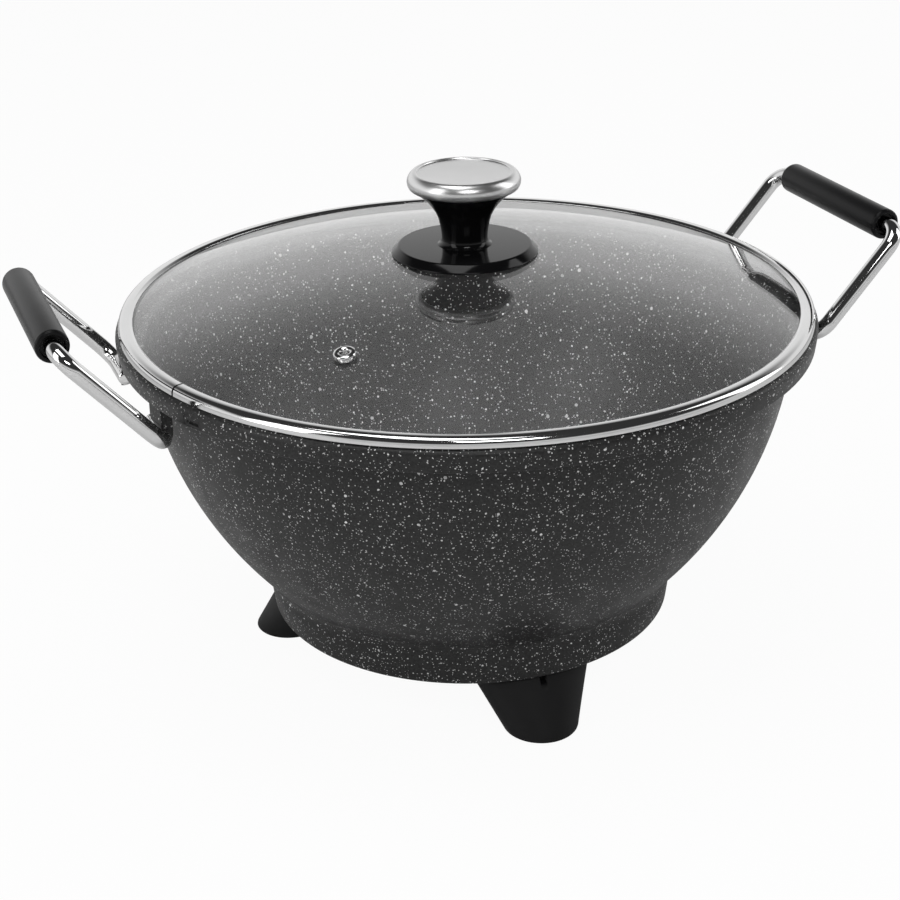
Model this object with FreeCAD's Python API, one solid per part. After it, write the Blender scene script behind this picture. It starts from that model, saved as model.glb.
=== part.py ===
import FreeCAD, Part
import math
import os

os.makedirs("parts", exist_ok=True)

Vector = FreeCAD.Vector
UP = Vector(0, 0, 1)
ORIGIN = Vector(0, 0, 0)
SECTION_NORMAL = Vector(0, -1, 0)
FULL_TURN = 360.0

# Frame: +Z up, floor at z = 0, handles along X, terminal socket at the back (+Y).
# All sizes are millimetres.

# Clearances
running_clearance = 0.08
seat_clearance = 0.15
loose_clearance = 0.4
slip_clearance = 0.3

# Bowl casting, outside
bowl_widest_radius = 161.1
bowl_arc_radius = 191.3
bowl_arc_height = 187.2
bowl_wall = 3.6
floor_height = 48.0
floor_thickness = 5.0
floor_blend = 40.0

# Rim of the bowl and the ledge that the lid drops into
rim_radius = 172.0
rim_height = 184.3
rim_band = 10.3
rim_round = 3.6
rim_draft = 1.2
ledge_depth = 7.8
recess_radius = 166.8
mouth_round = 5.0
ledge_corner_round = 1.5
rim_edge_round = 0.5
step_round = 2.5
tally_width = 8.0
tally_height = 1.8
tally_depth = 0.8
tally_drop = 7.2
tally_angle = 204.2

# Base ring under the bowl
ring_radius = 104.0
ring_foot_radius = 102.6
ring_bottom = 29.9
ring_wall = 6.5
ring_bulge_height = 40.0
valley_round = 9.0
ring_edge_round = 1.2

# Feet, three around the ring
foot_angles = (-91.0, 30.0, 152.0)
foot_names = ("front", "back_right", "back_left")
foot_sole_radial = 98.0
foot_sole_width = 18.2
foot_sole_depth = 18.2
foot_head_radial = 81.8
foot_head_width = 31.6
foot_head_depth = 18.0
foot_sole_height = 0.6
foot_edge_round = 0.9
foot_gap = 0.3
foot_notch_width = 3.5
foot_notch_height = 4.6
foot_notch_depth = 3.0
foot_screw_radial = 90.0
foot_boss_radius = 7.0
foot_seat_radius = 8.5
foot_counterbore_depth = 20.0
pad_radius = 12.0
pad_thickness = 3.0
pad_edge_round = 0.6

# Base cover plate
cover_thickness = 1.0
cover_lift = 1.0
cover_gap = 1.2
vent_slot_length = 16.0
vent_slot_width = 3.0
vent_slot_count = 12
vent_slot_radial = 38.0

# Tubular heating element and its clamp plate
element_radius = 3.8
element_ring_radius = 68.0
element_bend_radius = 10.0
element_leg_end = 87.0
terminal_spacing = 28.0
clamp_inner_radius = 50.0
clamp_outer_radius = 80.0
clamp_thickness = 1.0
clamp_boss_radius = 5.0
clamp_boss_radial = 57.0
clamp_angles = (0.0, 120.0, 240.0)

# Terminal pins, ceramic collars and the sensor tube
pin_radius = 2.5
pin_root_radius = 2.8
pin_tip = 117.0
pin_tip_round = 1.2
collar_radius = 3.75
collar_stand = 1.0
tube_radius = 3.75
tube_bore_radius = 3.1
tube_start = 66.0
tube_bore_start = 70.0
tube_tip = 116.0
saddle_wall = 2.5
saddle_start = 63.0
saddle_length = 17.0
saddle_reach = 1.0

# Socket shroud at the back
shroud_width = 52.0
shroud_height = 16.6
shroud_wall = 1.8
shroud_back = 97.0
shroud_mouth = 122.0
shroud_back_wall = 3.0
shroud_corner_round = 4.5
shroud_ear_length = 13.0
shroud_ear_thickness = 3.0

# Screws
cap_screw_radius = 2.0
cap_screw_head_radius = 3.6
cap_screw_head_height = 1.8
small_screw_radius = 1.5
small_screw_head_radius = 2.8
small_screw_head_height = 1.8
screw_slot_width = 0.9
screw_slot_depth = 0.8
thread_bite = 3.4

# Handle ears cast under the rim
ear_inner_offset = 33.5
ear_width = 11.0
eye_wall = 1.9
pivot_reach = 165.7
pivot_height = 163.1

# Wire handles and their grips
wire_radius = 4.0
handle_rise_angle = 48.6
handle_leg_length = 65.8
handle_leg_offset = 58.5
handle_bend_radius = 10.0
wire_tip_offset = 27.0
wire_tip_round = 2.4
grip_length = 91.4
grip_radius = 7.75
grip_edge_round = 1.8
grip_recess_radius = 5.7
grip_recess_depth = 2.2

# Lid: glass dome, steel band, steam vent
glass_crown_height = 214.5
glass_dome_radius = 522.0
glass_thickness = 3.6
glass_edge_radius = 165.0
glass_edge_round = 0.8
band_radius = 170.0
band_height = 5.15
band_shoulder_round = 1.6
band_lip_radius = 162.7
band_lip_thickness = 0.8
band_skirt_depth = 6.0
band_seam_width = 1.6
band_seam_depth = 0.9
band_seam_angle = 198.6
vent_radial = 116.3
vent_angle = -138.6
vent_flange_radius = 5.3
vent_flange_height = 1.7
vent_barrel_radius = 3.6
vent_hole_radius = 2.0
vent_curl_radius = 4.7
vent_curl_height = 0.9

# Lid knob
knob_hole_radius = 4.5
skirt_radius = 35.8
skirt_top_radius = 32.4
skirt_bottom = 213.4
skirt_top = 217.4
skirt_gap = 0.2
gasket_radius = 11.0
gasket_thickness = 1.0
stem_base_radius = 13.2
stem_waist_radius = 11.1
stem_waist_height = 220.8
stem_shoulder_radius = 18.4
stem_shoulder_height = 239.8
stem_collar_radius = 24.4
stem_collar_height = 245.0
cap_radius = 27.7
cap_widest_height = 248.4
cap_top = 253.9
cap_crest_radius = 24.4
cap_disc_radius = 22.7
cap_disc_sink = 1.0
cap_shell = 1.2
knob_screw_radius = 2.5
knob_screw_head_radius = 5.2
knob_screw_head_height = 2.4
knob_screw_reach = 232.0
washer_radius = 9.0
washer_thickness = 1.0
seal_radius = 10.5
seal_thickness = 1.6
spigot_radius = 4.3


# Values worked out from the sizes above
bowl_arc_centre = bowl_widest_radius - bowl_arc_radius
inner_arc_radius = bowl_arc_radius - bowl_wall
rim_bottom = rim_height - rim_band
ledge_height = rim_height - ledge_depth
floor_underside = floor_height - floor_thickness
ring_inner_radius = ring_foot_radius - ring_wall
cover_bottom = ring_bottom + cover_lift
cover_top = cover_bottom + cover_thickness
cover_radius = ring_inner_radius - cover_gap
foot_top = ring_bottom - foot_gap
element_height = floor_underside - element_radius
element_bottom = element_height - element_radius
terminal_offset = terminal_spacing / 2
eye_radius = wire_radius + running_clearance + eye_wall
wire_hole_radius = wire_radius + running_clearance
glass_centre_height = glass_crown_height - glass_dome_radius
band_top = rim_height + band_height
shroud_bottom = element_height - shroud_height / 2
shroud_top = element_height + shroud_height / 2
shroud_ear_inner = terminal_offset + collar_radius + loose_clearance
collar_end = shroud_back + shroud_back_wall + collar_stand
overlap_depth = 1.0


def point(radius, height):
    """A point of a half section, in the XZ plane."""
    return Vector(radius, 0, height)


class Outline:
    """A closed half section, drawn with straight lines and arcs, whose corners can be rounded."""

    def __init__(self, radius, height):
        self.start = point(radius, height)
        self.last = self.start
        self.edges = []
        self.corners = []

    def line(self, radius, height):
        """Draw a straight line to a new point."""
        target = point(radius, height)
        self.edges.append(Part.LineSegment(self.last, target).toShape())
        self.last = target
        return self

    def arc(self, middle, end):
        """Draw an arc through a middle point to an end point."""
        target = point(*end)
        self.edges.append(Part.Arc(self.last, point(*middle), target).toShape())
        self.last = target
        return self

    def round(self, size):
        """Round the corner that was drawn last."""
        self.corners.append((len(self.edges) - 1, self.last, size))
        return self

    def face(self):
        """Close the outline, round its corners and fill it."""
        if self.last.distanceToPoint(self.start) > Part.Precision.confusion():
            self.line(self.start.x, self.start.z)
        edges = list(self.edges)
        plane = Part.Plane(ORIGIN, SECTION_NORMAL)
        rounds = []
        for before, corner, size in self.corners:
            after = (before + 1) % len(edges)
            tool = Part.ChFi2d.FilletAlgo(edges[before], edges[after], plane)
            tool.perform(size)
            arc, edges[before], edges[after] = tool.result(corner)
            rounds.append(arc)
        return Part.Face(Part.Wire(Part.sortEdges(edges + rounds)[0]))

    def revolve(self):
        """Turn the outline about the vertical axis."""
        return self.face().revolve(ORIGIN, UP, FULL_TURN)


def arc_radius_at(height, radius):
    """Radius of the bowl's side arc at a height, for an arc of the given radius."""
    rise = bowl_arc_height - height
    return bowl_arc_centre + math.sqrt(radius ** 2 - rise ** 2)


def dome_height_at(radial, sphere_radius):
    """Height of a sphere about the dome's centre at a distance from the axis."""
    return glass_centre_height + math.sqrt(sphere_radius ** 2 - radial ** 2)


def polar(radial, degrees, height=0.0):
    """A point at a distance and an angle from the vertical axis."""
    angle = math.radians(degrees)
    return Vector(radial * math.cos(angle), radial * math.sin(angle), height)


def turned(shape, degrees, centre=ORIGIN, axis=UP):
    """A copy of a shape, turned about an axis."""
    copy = shape.copy()
    copy.rotate(centre, axis, degrees)
    return copy


def mirrored(shape, normal):
    """A copy of a shape, mirrored through the origin."""
    return shape.mirror(ORIGIN, normal)


def box(low, high):
    """A box between two corners."""
    size = high - low
    return Part.makeBox(size.x, size.y, size.z, low)


def rod(radius, start, end):
    """A round rod between two points."""
    direction = end - start
    return Part.makeCylinder(radius, direction.Length, start, direction)


def merged(shapes):
    """One solid made of several that touch or overlap."""
    result = shapes[0]
    for shape in shapes[1:]:
        result = result.fuse(shape)
    return result.removeSplitter()


def swept(radius, path):
    """A round bar along a path of tangent lines and arcs."""
    first = path.OrderedEdges[0]
    start = first.valueAt(first.FirstParameter)
    tangent = first.tangentAt(first.FirstParameter)
    circle = Part.makeCircle(radius, start, tangent)
    return path.makePipeShell([Part.Wire(circle)], True, True)


def filleted_path(points, radius):
    """Straight runs through points, with every corner turned by a tangent arc."""
    edges = []
    last = points[0]
    for before, corner, after in zip(points, points[1:], points[2:]):
        inward = (before - corner).normalize()
        outward = (after - corner).normalize()
        half = inward.getAngle(outward) / 2
        setback = radius / math.tan(half)
        middle = (inward + outward).normalize() * (radius / math.sin(half) - radius)
        begin = corner + inward * setback
        end = corner + outward * setback
        edges.append(Part.LineSegment(last, begin).toShape())
        edges.append(Part.Arc(begin, corner + middle, end).toShape())
        last = end
    edges.append(Part.LineSegment(last, points[-1]).toShape())
    return Part.Wire(edges)


def slotted_screw(shank_radius, head_radius, head_height, seat, length, upward=UP):
    """A slotted screw whose head lies under its seat and whose shank goes along a direction."""
    head = rod(head_radius, seat - upward * head_height, seat)
    shank = rod(shank_radius, seat - upward * (head_height / 2), seat + upward * length)
    screw = merged([head, shank])
    slot_low = Vector(-head_radius, -screw_slot_width / 2, -screw_slot_depth)
    slot_high = Vector(head_radius, screw_slot_width / 2, screw_slot_depth)
    slot = box(slot_low, slot_high)
    slot.translate(seat - upward * head_height)
    return screw.cut(slot)


def bowl_section():
    """Half section of the bowl, its rim and its base ring."""
    inner_middle = (floor_height + ledge_height) / 2
    outer_middle = (rim_bottom + ring_top_height()) / 2
    outline = Outline(0, floor_height)
    outline.line(arc_radius_at(floor_height, inner_arc_radius), floor_height).round(floor_blend)
    outline.arc((arc_radius_at(inner_middle, inner_arc_radius), inner_middle),
                (arc_radius_at(ledge_height, inner_arc_radius), ledge_height)).round(mouth_round)
    outline.line(recess_radius, ledge_height).round(ledge_corner_round)
    outline.line(recess_radius, rim_height).round(rim_edge_round)
    outline.line(rim_radius, rim_height).round(rim_round)
    outline.line(rim_radius - rim_draft, rim_bottom).round(rim_edge_round)
    outline.line(arc_radius_at(rim_bottom, bowl_arc_radius), rim_bottom).round(step_round)
    outline.arc((arc_radius_at(outer_middle, bowl_arc_radius), outer_middle),
                (ring_shoulder_radius(), ring_top_height())).round(valley_round)
    outline.arc((ring_radius, ring_bulge_height), (ring_foot_radius, ring_bottom)).round(ring_edge_round)
    outline.line(ring_inner_radius, ring_bottom)
    outline.line(ring_inner_radius, floor_underside)
    outline.line(0, floor_underside)
    return outline


def ring_shoulder_radius():
    """Radius of the base ring where it leaves the bowl."""
    return (ring_radius + ring_foot_radius) / 2


def ring_top_height():
    """Height where the bowl's side arc reaches the base ring."""
    reach = ring_shoulder_radius() - bowl_arc_centre
    return bowl_arc_height - math.sqrt(bowl_arc_radius ** 2 - reach ** 2)


def handle_ear():
    """One ear under the rim: a web with an eye for the wire, before the wire hole is drilled."""
    low_y = ear_inner_offset
    high_y = ear_inner_offset + ear_width
    web = box(Vector(pivot_reach - eye_radius, low_y, pivot_height),
              Vector(pivot_reach + eye_radius, high_y, rim_bottom + overlap_depth))
    rim_cylinder = Part.makeCylinder(rim_radius - rim_draft, rim_height)
    web = web.common(rim_cylinder)
    eye = rod(eye_radius, Vector(pivot_reach, low_y, pivot_height), Vector(pivot_reach, high_y, pivot_height))
    return merged([web, eye])


def on_four_corners(shape):
    """A shape and its mirror images through both vertical planes."""
    pair = [shape, mirrored(shape, Vector(0, 1, 0))]
    return pair + [mirrored(item, Vector(1, 0, 0)) for item in pair]


def rim_tally():
    """A small recessed dash in the side of the rim, beside the ear."""
    middle = rim_height - tally_drop
    low = Vector(rim_radius - rim_draft - tally_depth, -tally_width / 2, middle - tally_height / 2)
    high = Vector(rim_radius + overlap_depth, tally_width / 2, middle + tally_height / 2)
    return turned(box(low, high), tally_angle)


def casting():
    """The whole casting: bowl with rim, ledge, four ears, base ring and the foot screws' bosses."""
    body = bowl_section().revolve()
    parts = [body] + on_four_corners(handle_ear())
    for angle in foot_angles:
        low = polar(foot_screw_radial, angle, cover_top)
        high = polar(foot_screw_radial, angle, floor_underside + overlap_depth)
        parts.append(rod(foot_boss_radius, low, high))
    body = merged(parts)
    return body.cut(body_cuts())


def ring_zone():
    """The space that the base ring and its bosses take, up to the top of the socket's throat."""
    low = ring_bottom - overlap_depth
    boss_reach = foot_screw_radial - foot_boss_radius - overlap_depth
    window_half = shroud_width / 2 + slip_clearance
    outer = tube_between(ring_inner_radius, ring_radius + overlap_depth, low, shroud_top + slip_clearance)
    inner = tube_between(boss_reach, ring_inner_radius + overlap_depth, low, floor_underside)
    bridge = box(Vector(-window_half, 0, floor_underside),
                 Vector(window_half, ring_radius + 2 * overlap_depth, shroud_top + overlap_depth))
    return outer.cut(bridge).fuse(inner)


def tube_between(inner_radius, outer_radius, low, high):
    """A ring of rectangular section about the vertical axis."""
    outer = rod(outer_radius, UP * low, UP * high)
    return outer.cut(rod(inner_radius, UP * (low - overlap_depth), UP * (high + overlap_depth)))


def wok_body(cast):
    """The bowl with rim, ledge and ears: the casting without its base ring."""
    return cast.cut(ring_zone())


def base_ring(cast):
    """The lower part of the casting: the ring round the feet and the socket, with the feet's bosses."""
    return cast.common(ring_zone())


def clamp_posts():
    """Three posts under the floor that the clamp plate is screwed to."""
    posts = []
    for angle in clamp_angles:
        low = polar(clamp_boss_radial, angle, element_bottom)
        high = polar(clamp_boss_radial, angle, floor_underside)
        post = rod(clamp_boss_radius, low, high)
        posts.append(post.cut(rod(cap_screw_radius + seat_clearance, low - UP * overlap_depth, high + UP * overlap_depth)))
    return Part.makeCompound(posts)


def sensor_saddle():
    """A block under the floor with a slot, open below and to the back, that the sensor tube lies in."""
    slot_half = tube_radius + seat_clearance
    half = slot_half + saddle_wall
    bottom = element_height - saddle_reach
    end = saddle_start + saddle_length
    block = box(Vector(-half, saddle_start, bottom), Vector(half, end, floor_underside))
    slot = box(Vector(-slot_half, tube_start - seat_clearance, bottom - overlap_depth),
               Vector(slot_half, end + overlap_depth, floor_underside + overlap_depth))
    return block.cut(slot)


def body_cuts():
    """Everything that is drilled or cut out of the casting."""
    cuts = []
    eye_low = Vector(pivot_reach, ear_inner_offset - overlap_depth, pivot_height)
    eye_high = Vector(pivot_reach, ear_inner_offset + ear_width + overlap_depth, pivot_height)
    cuts += on_four_corners(rod(wire_hole_radius, eye_low, eye_high))
    for angle in foot_angles:
        low = polar(foot_screw_radial, angle, cover_top - overlap_depth)
        high = polar(foot_screw_radial, angle, floor_underside)
        cuts.append(rod(cap_screw_radius + seat_clearance, low, high))
    for side in (-1, 1):
        screw = shroud_screw_place(side)
        low = screw + UP * (floor_underside - overlap_depth - screw.z)
        high = screw + UP * (floor_underside + thread_bite - screw.z)
        cuts.append(rod(small_screw_radius + seat_clearance, low, high))
    window_half = shroud_width / 2 + slip_clearance
    window = box(Vector(-window_half, shroud_back - shroud_ear_length, ring_bottom - overlap_depth),
                 Vector(window_half, ring_radius + overlap_depth, floor_underside))
    throat = box(Vector(-window_half, shroud_back - slip_clearance, ring_bottom - overlap_depth),
                 Vector(window_half, ring_radius + overlap_depth, shroud_top + slip_clearance))
    cuts.append(window)
    cuts.append(throat)
    tally = rim_tally()
    cuts.append(tally)
    cuts.append(turned(tally, FULL_TURN / 2))
    return Part.makeCompound(cuts)


def shroud_screw_place(side):
    """Where a shroud screw's head seats under its ear."""
    across = (shroud_ear_inner + shroud_width / 2) / 2
    along = shroud_back - shroud_ear_length / 2
    return Vector(side * across, along, floor_underside - shroud_ear_thickness)


def element_path():
    """Centre line of the heating element: a leg, a bend, an open ring, a bend, a leg."""
    bend_reach = element_ring_radius + element_bend_radius
    bend_x = terminal_offset + element_bend_radius
    bend_y = math.sqrt(bend_reach ** 2 - bend_x ** 2)
    share = element_ring_radius / bend_reach
    edges = []
    ends = {}
    for side in (1, -1):
        centre = Vector(side * bend_x, bend_y, element_height)
        on_leg = Vector(side * terminal_offset, bend_y, element_height)
        on_ring = Vector(side * bend_x * share, bend_y * share, element_height)
        toward = (on_leg + on_ring) * 0.5 - centre
        middle = centre + toward.normalize() * element_bend_radius
        tip = Vector(side * terminal_offset, element_leg_end, element_height)
        ends[side] = (tip, on_leg, middle, on_ring)
    tip, on_leg, middle, on_ring = ends[1]
    edges.append(Part.LineSegment(tip, on_leg).toShape())
    edges.append(Part.Arc(on_leg, middle, on_ring).toShape())
    far_side = Vector(0, -element_ring_radius, element_height)
    far_tip, far_leg, far_middle, far_ring = ends[-1]
    edges.append(Part.Arc(on_ring, far_side, far_ring).toShape())
    edges.append(Part.Arc(far_ring, far_middle, far_leg).toShape())
    edges.append(Part.LineSegment(far_leg, far_tip).toShape())
    return Part.Wire(edges)


def heating_element():
    """The tubular heating element, an open ring under the bowl's floor."""
    return swept(element_radius - seat_clearance, element_path())


def element_clamp():
    """Sheet ring that presses the element to the bowl's floor."""
    outer = Part.makeCylinder(clamp_outer_radius, clamp_thickness, UP * (element_bottom - clamp_thickness))
    inner = Part.makeCylinder(clamp_inner_radius, rim_height)
    gap_low = Vector(-terminal_offset, 0, 0)
    gap_high = Vector(terminal_offset, clamp_outer_radius + overlap_depth, rim_height)
    plate = outer.cut(inner).cut(box(gap_low, gap_high))
    for angle in clamp_angles:
        hole = rod(cap_screw_radius + loose_clearance, polar(clamp_boss_radial, angle), polar(clamp_boss_radial, angle, rim_height))
        plate = plate.cut(hole)
    return plate


def clamp_screws():
    """Screws that hold the clamp plate to its bosses."""
    screws = []
    for angle in clamp_angles:
        seat = polar(clamp_boss_radial, angle, element_bottom - clamp_thickness)
        length = floor_underside - seat.z - seat_clearance
        screws.append(slotted_screw(cap_screw_radius, cap_screw_head_radius, cap_screw_head_height, seat, length))
    return Part.makeCompound(screws)


def terminal_pin(side):
    """A round terminal pin with a thicker root inside its collar and a rounded tip."""
    start = Vector(side * terminal_offset, element_leg_end, element_height)
    step = Vector(side * terminal_offset, collar_end, element_height)
    tip = Vector(side * terminal_offset, pin_tip, element_height)
    pin = merged([rod(pin_root_radius, start, step), rod(pin_radius, step, tip)])
    ends = [edge for edge in pin.Edges if edge.CenterOfMass.y > pin_tip - pin_tip_round]
    return pin.makeFillet(pin_tip_round, ends)


def terminal_collar(side):
    """Ceramic collar between the element's leg and the shroud, round a pin."""
    start = Vector(side * terminal_offset, element_leg_end, element_height)
    end = Vector(side * terminal_offset, collar_end, element_height)
    return rod(collar_radius, start, end).cut(rod(pin_root_radius + running_clearance, start, end))


def sensor_tube():
    """Tube under the floor that takes the thermostat's sensor, closed at its inner end."""
    start = Vector(0, tube_start, element_height)
    tip = Vector(0, tube_tip, element_height)
    bore_start = Vector(0, tube_bore_start, element_height)
    return rod(tube_radius, start, tip).cut(rod(tube_bore_radius, bore_start, tip))


def socket_shroud():
    """Plastic shroud round the terminals, open to the back, with two ears for its screws."""
    half = shroud_width / 2
    outer = box(Vector(-half, shroud_back, shroud_bottom), Vector(half, shroud_mouth, shroud_top))
    along = [edge for edge in outer.Edges if edge.BoundBox.YLength > shroud_wall]
    along = [edge for edge in along if edge.BoundBox.XLength < shroud_wall and edge.BoundBox.ZLength < shroud_wall]
    outer = outer.makeFillet(shroud_corner_round, along)
    inner = box(Vector(-half + shroud_wall, shroud_back + shroud_back_wall, shroud_bottom + shroud_wall),
                Vector(half - shroud_wall, shroud_mouth + overlap_depth, shroud_top - shroud_wall))
    along = [edge for edge in inner.Edges if edge.BoundBox.YLength > shroud_wall]
    inner = inner.makeFillet(shroud_corner_round - shroud_wall, along)
    shroud = outer.cut(inner)
    ears = []
    for side in (-1, 1):
        edges = sorted((side * half, side * shroud_ear_inner))
        low = Vector(edges[0], shroud_back - shroud_ear_length, floor_underside - shroud_ear_thickness)
        high = Vector(edges[1], shroud_back + overlap_depth, floor_underside)
        ears.append(box(low, high))
    shroud = merged([shroud] + ears)
    holes = []
    for side in (-1, 1):
        screw = shroud_screw_place(side)
        holes.append(rod(small_screw_radius + slip_clearance, screw - UP * overlap_depth,
                         screw + UP * (shroud_ear_thickness + overlap_depth)))
        start = Vector(side * terminal_offset, shroud_back - overlap_depth, element_height)
        end = start + Vector(0, shroud_back_wall + 2 * overlap_depth, 0)
        holes.append(rod(collar_radius + seat_clearance, start, end))
    start = Vector(0, shroud_back - overlap_depth, element_height)
    end = start + Vector(0, shroud_back_wall + 2 * overlap_depth, 0)
    holes.append(rod(tube_radius + seat_clearance, start, end))
    return shroud.cut(Part.makeCompound(holes))


def shroud_screws():
    """Two screws that hold the shroud's ears to the bowl's floor."""
    screws = []
    for side in (-1, 1):
        seat = shroud_screw_place(side)
        length = shroud_ear_thickness + thread_bite - seat_clearance
        screws.append(slotted_screw(small_screw_radius, small_screw_head_radius, small_screw_head_height, seat, length))
    return Part.makeCompound(screws)


def base_cover():
    """Sheet cover inside the base ring, with vent slots and a notch for the socket."""
    plate = Part.makeCylinder(cover_radius, cover_thickness, UP * cover_bottom)
    half = shroud_width / 2 + slip_clearance
    notch = box(Vector(-half, shroud_back - shroud_ear_length - slip_clearance, 0),
                Vector(half, ring_radius, rim_height))
    plate = plate.cut(notch)
    cuts = []
    for angle in foot_angles:
        cuts.append(rod(cap_screw_radius + loose_clearance, polar(foot_screw_radial, angle), polar(foot_screw_radial, angle, rim_height)))
    slot = vent_slot()
    for index in range(vent_slot_count):
        cuts.append(turned(slot, index * FULL_TURN / vent_slot_count))
    return plate.cut(Part.makeCompound(cuts))


def vent_slot():
    """One radial slot with round ends, through the base cover."""
    near = vent_slot_radial - vent_slot_length / 2
    far = vent_slot_radial + vent_slot_length / 2
    half = vent_slot_width / 2
    bar = box(Vector(near, -half, 0), Vector(far, half, rim_height))
    ends = [rod(half, Vector(reach, 0, 0), Vector(reach, 0, rim_height)) for reach in (near, far)]
    return merged([bar] + ends)


def foot_section(radial, half_width, half_depth, height):
    """An oval across the foot, stretched from a circle along and across the ring."""
    stretch = FreeCAD.Matrix()
    stretch.scale(half_depth, half_width, 1)
    oval = Part.makeCircle(1).transformGeometry(stretch)
    oval.translate(Vector(radial, 0, height))
    return Part.Wire(oval.Edges)


def foot():
    """A splayed plastic foot on the +X side, with its bevelled sole, seat, counterbore, pad recess and notch."""
    sole = foot_section(foot_sole_radial, foot_sole_width - foot_edge_round, foot_sole_depth - foot_edge_round,
                        foot_sole_height)
    edge = foot_section(foot_sole_radial, foot_sole_width, foot_sole_depth, foot_sole_height + foot_edge_round)
    head = foot_section(foot_head_radial, foot_head_width, foot_head_depth, foot_top)
    solid = Part.makeLoft([sole, edge, head], True, True)
    seat = rod(foot_seat_radius, Vector(foot_screw_radial, 0, foot_top - overlap_depth),
               Vector(foot_screw_radial, 0, cover_bottom))
    solid = merged([solid, seat.common(Part.makeCylinder(ring_inner_radius - slip_clearance, rim_height))])
    screw_low = Vector(foot_screw_radial, 0, 0)
    counterbore_top = Vector(foot_screw_radial, 0, foot_sole_height + foot_counterbore_depth)
    screw_high = Vector(foot_screw_radial, 0, cover_top)
    notch_reach = foot_head_radial + foot_head_depth
    notch = box(Vector(notch_reach - foot_notch_depth, -foot_notch_width / 2, foot_top - foot_notch_height),
                Vector(notch_reach + foot_notch_height, foot_notch_width / 2, foot_top + overlap_depth))
    recess = rod(pad_radius + seat_clearance, Vector(foot_sole_radial, 0, 0), Vector(foot_sole_radial, 0, pad_thickness))
    cuts = [rod(cap_screw_head_radius + loose_clearance, screw_low, counterbore_top),
            rod(cap_screw_radius + loose_clearance, screw_low, screw_high), notch, recess]
    return solid.cut(Part.makeCompound(cuts))


def foot_pad():
    """Rubber pad under the +X foot."""
    pad = rod(pad_radius, Vector(foot_sole_radial, 0, 0), Vector(foot_sole_radial, 0, pad_thickness))
    lower = [edge for edge in pad.Edges if edge.BoundBox.ZMax < pad_edge_round]
    return pad.makeFillet(pad_edge_round, lower)


def foot_screws():
    """Screws that hold feet and base cover to the casting's bosses."""
    screws = []
    for angle in foot_angles:
        seat = polar(foot_screw_radial, angle, foot_sole_height + foot_counterbore_depth)
        length = floor_underside - seat.z - seat_clearance
        screws.append(slotted_screw(cap_screw_radius, cap_screw_head_radius, cap_screw_head_height, seat, length))
    return Part.makeCompound(screws)


def handle_point(along, across):
    """A point of the right handle's plane: a distance up the legs, and one along the hinge line."""
    angle = math.radians(handle_rise_angle)
    return Vector(pivot_reach + along * math.cos(angle), across, pivot_height + along * math.sin(angle))


def handle_wire():
    """The right wire handle: two hinge ends, two legs and the bar through the grip."""
    points = []
    for side in (1, -1):
        leg = [handle_point(0, side * wire_tip_offset), handle_point(0, side * handle_leg_offset),
               handle_point(handle_leg_length, side * handle_leg_offset)]
        points += leg if side > 0 else leg[::-1]
    wire = swept(wire_radius, filleted_path(points, handle_bend_radius))
    tips = [edge for edge in wire.Edges
            if isinstance(edge.Curve, Part.Circle)
            and abs(abs(edge.CenterOfMass.y) - wire_tip_offset) < seat_clearance
            and edge.BoundBox.YLength < seat_clearance]
    return wire.makeFillet(wire_tip_round, tips)


def grip():
    """The right grip: a tube on the wire, with rounded edges and recessed ends."""
    half = grip_length / 2
    bore = wire_radius + running_clearance
    outline = Outline(bore, 0)
    outline.line(bore, half - grip_recess_depth)
    outline.line(grip_recess_radius, half - grip_recess_depth)
    outline.line(grip_recess_radius, half)
    outline.line(grip_radius, half).round(grip_edge_round)
    outline.line(grip_radius, 0)
    upper = outline.revolve()
    tube = merged([upper, mirrored(upper, UP)])
    tube.rotate(ORIGIN, Vector(1, 0, 0), FULL_TURN / 4)
    tube.translate(handle_point(handle_leg_length, 0))
    return tube


def lid_glass():
    """The tempered glass dome, with holes for the knob and the vent."""
    inner_radius = glass_dome_radius - glass_thickness
    middle = (knob_hole_radius + glass_edge_radius) / 2
    outline = Outline(knob_hole_radius, dome_height_at(knob_hole_radius, glass_dome_radius))
    outline.arc((middle, dome_height_at(middle, glass_dome_radius)),
                (glass_edge_radius, dome_height_at(glass_edge_radius, glass_dome_radius))).round(glass_edge_round)
    outline.line(glass_edge_radius, dome_height_at(glass_edge_radius, inner_radius))
    outline.arc((middle, dome_height_at(middle, inner_radius)),
                (knob_hole_radius, dome_height_at(knob_hole_radius, inner_radius)))
    dome = outline.revolve()
    hole = on_vent(Part.makeCylinder(vent_barrel_radius + seat_clearance, 4 * glass_thickness, UP * (-2 * glass_thickness)))
    return dome.cut(hole)


def on_vent(shape):
    """Move a shape from the origin to the vent, with +Z along the dome's normal there."""
    lean = math.degrees(math.asin(vent_radial / glass_dome_radius))
    shape.rotate(ORIGIN, Vector(0, 1, 0), lean)
    shape.translate(point(vent_radial, dome_height_at(vent_radial, glass_dome_radius)))
    return turned(shape, vent_angle)


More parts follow.
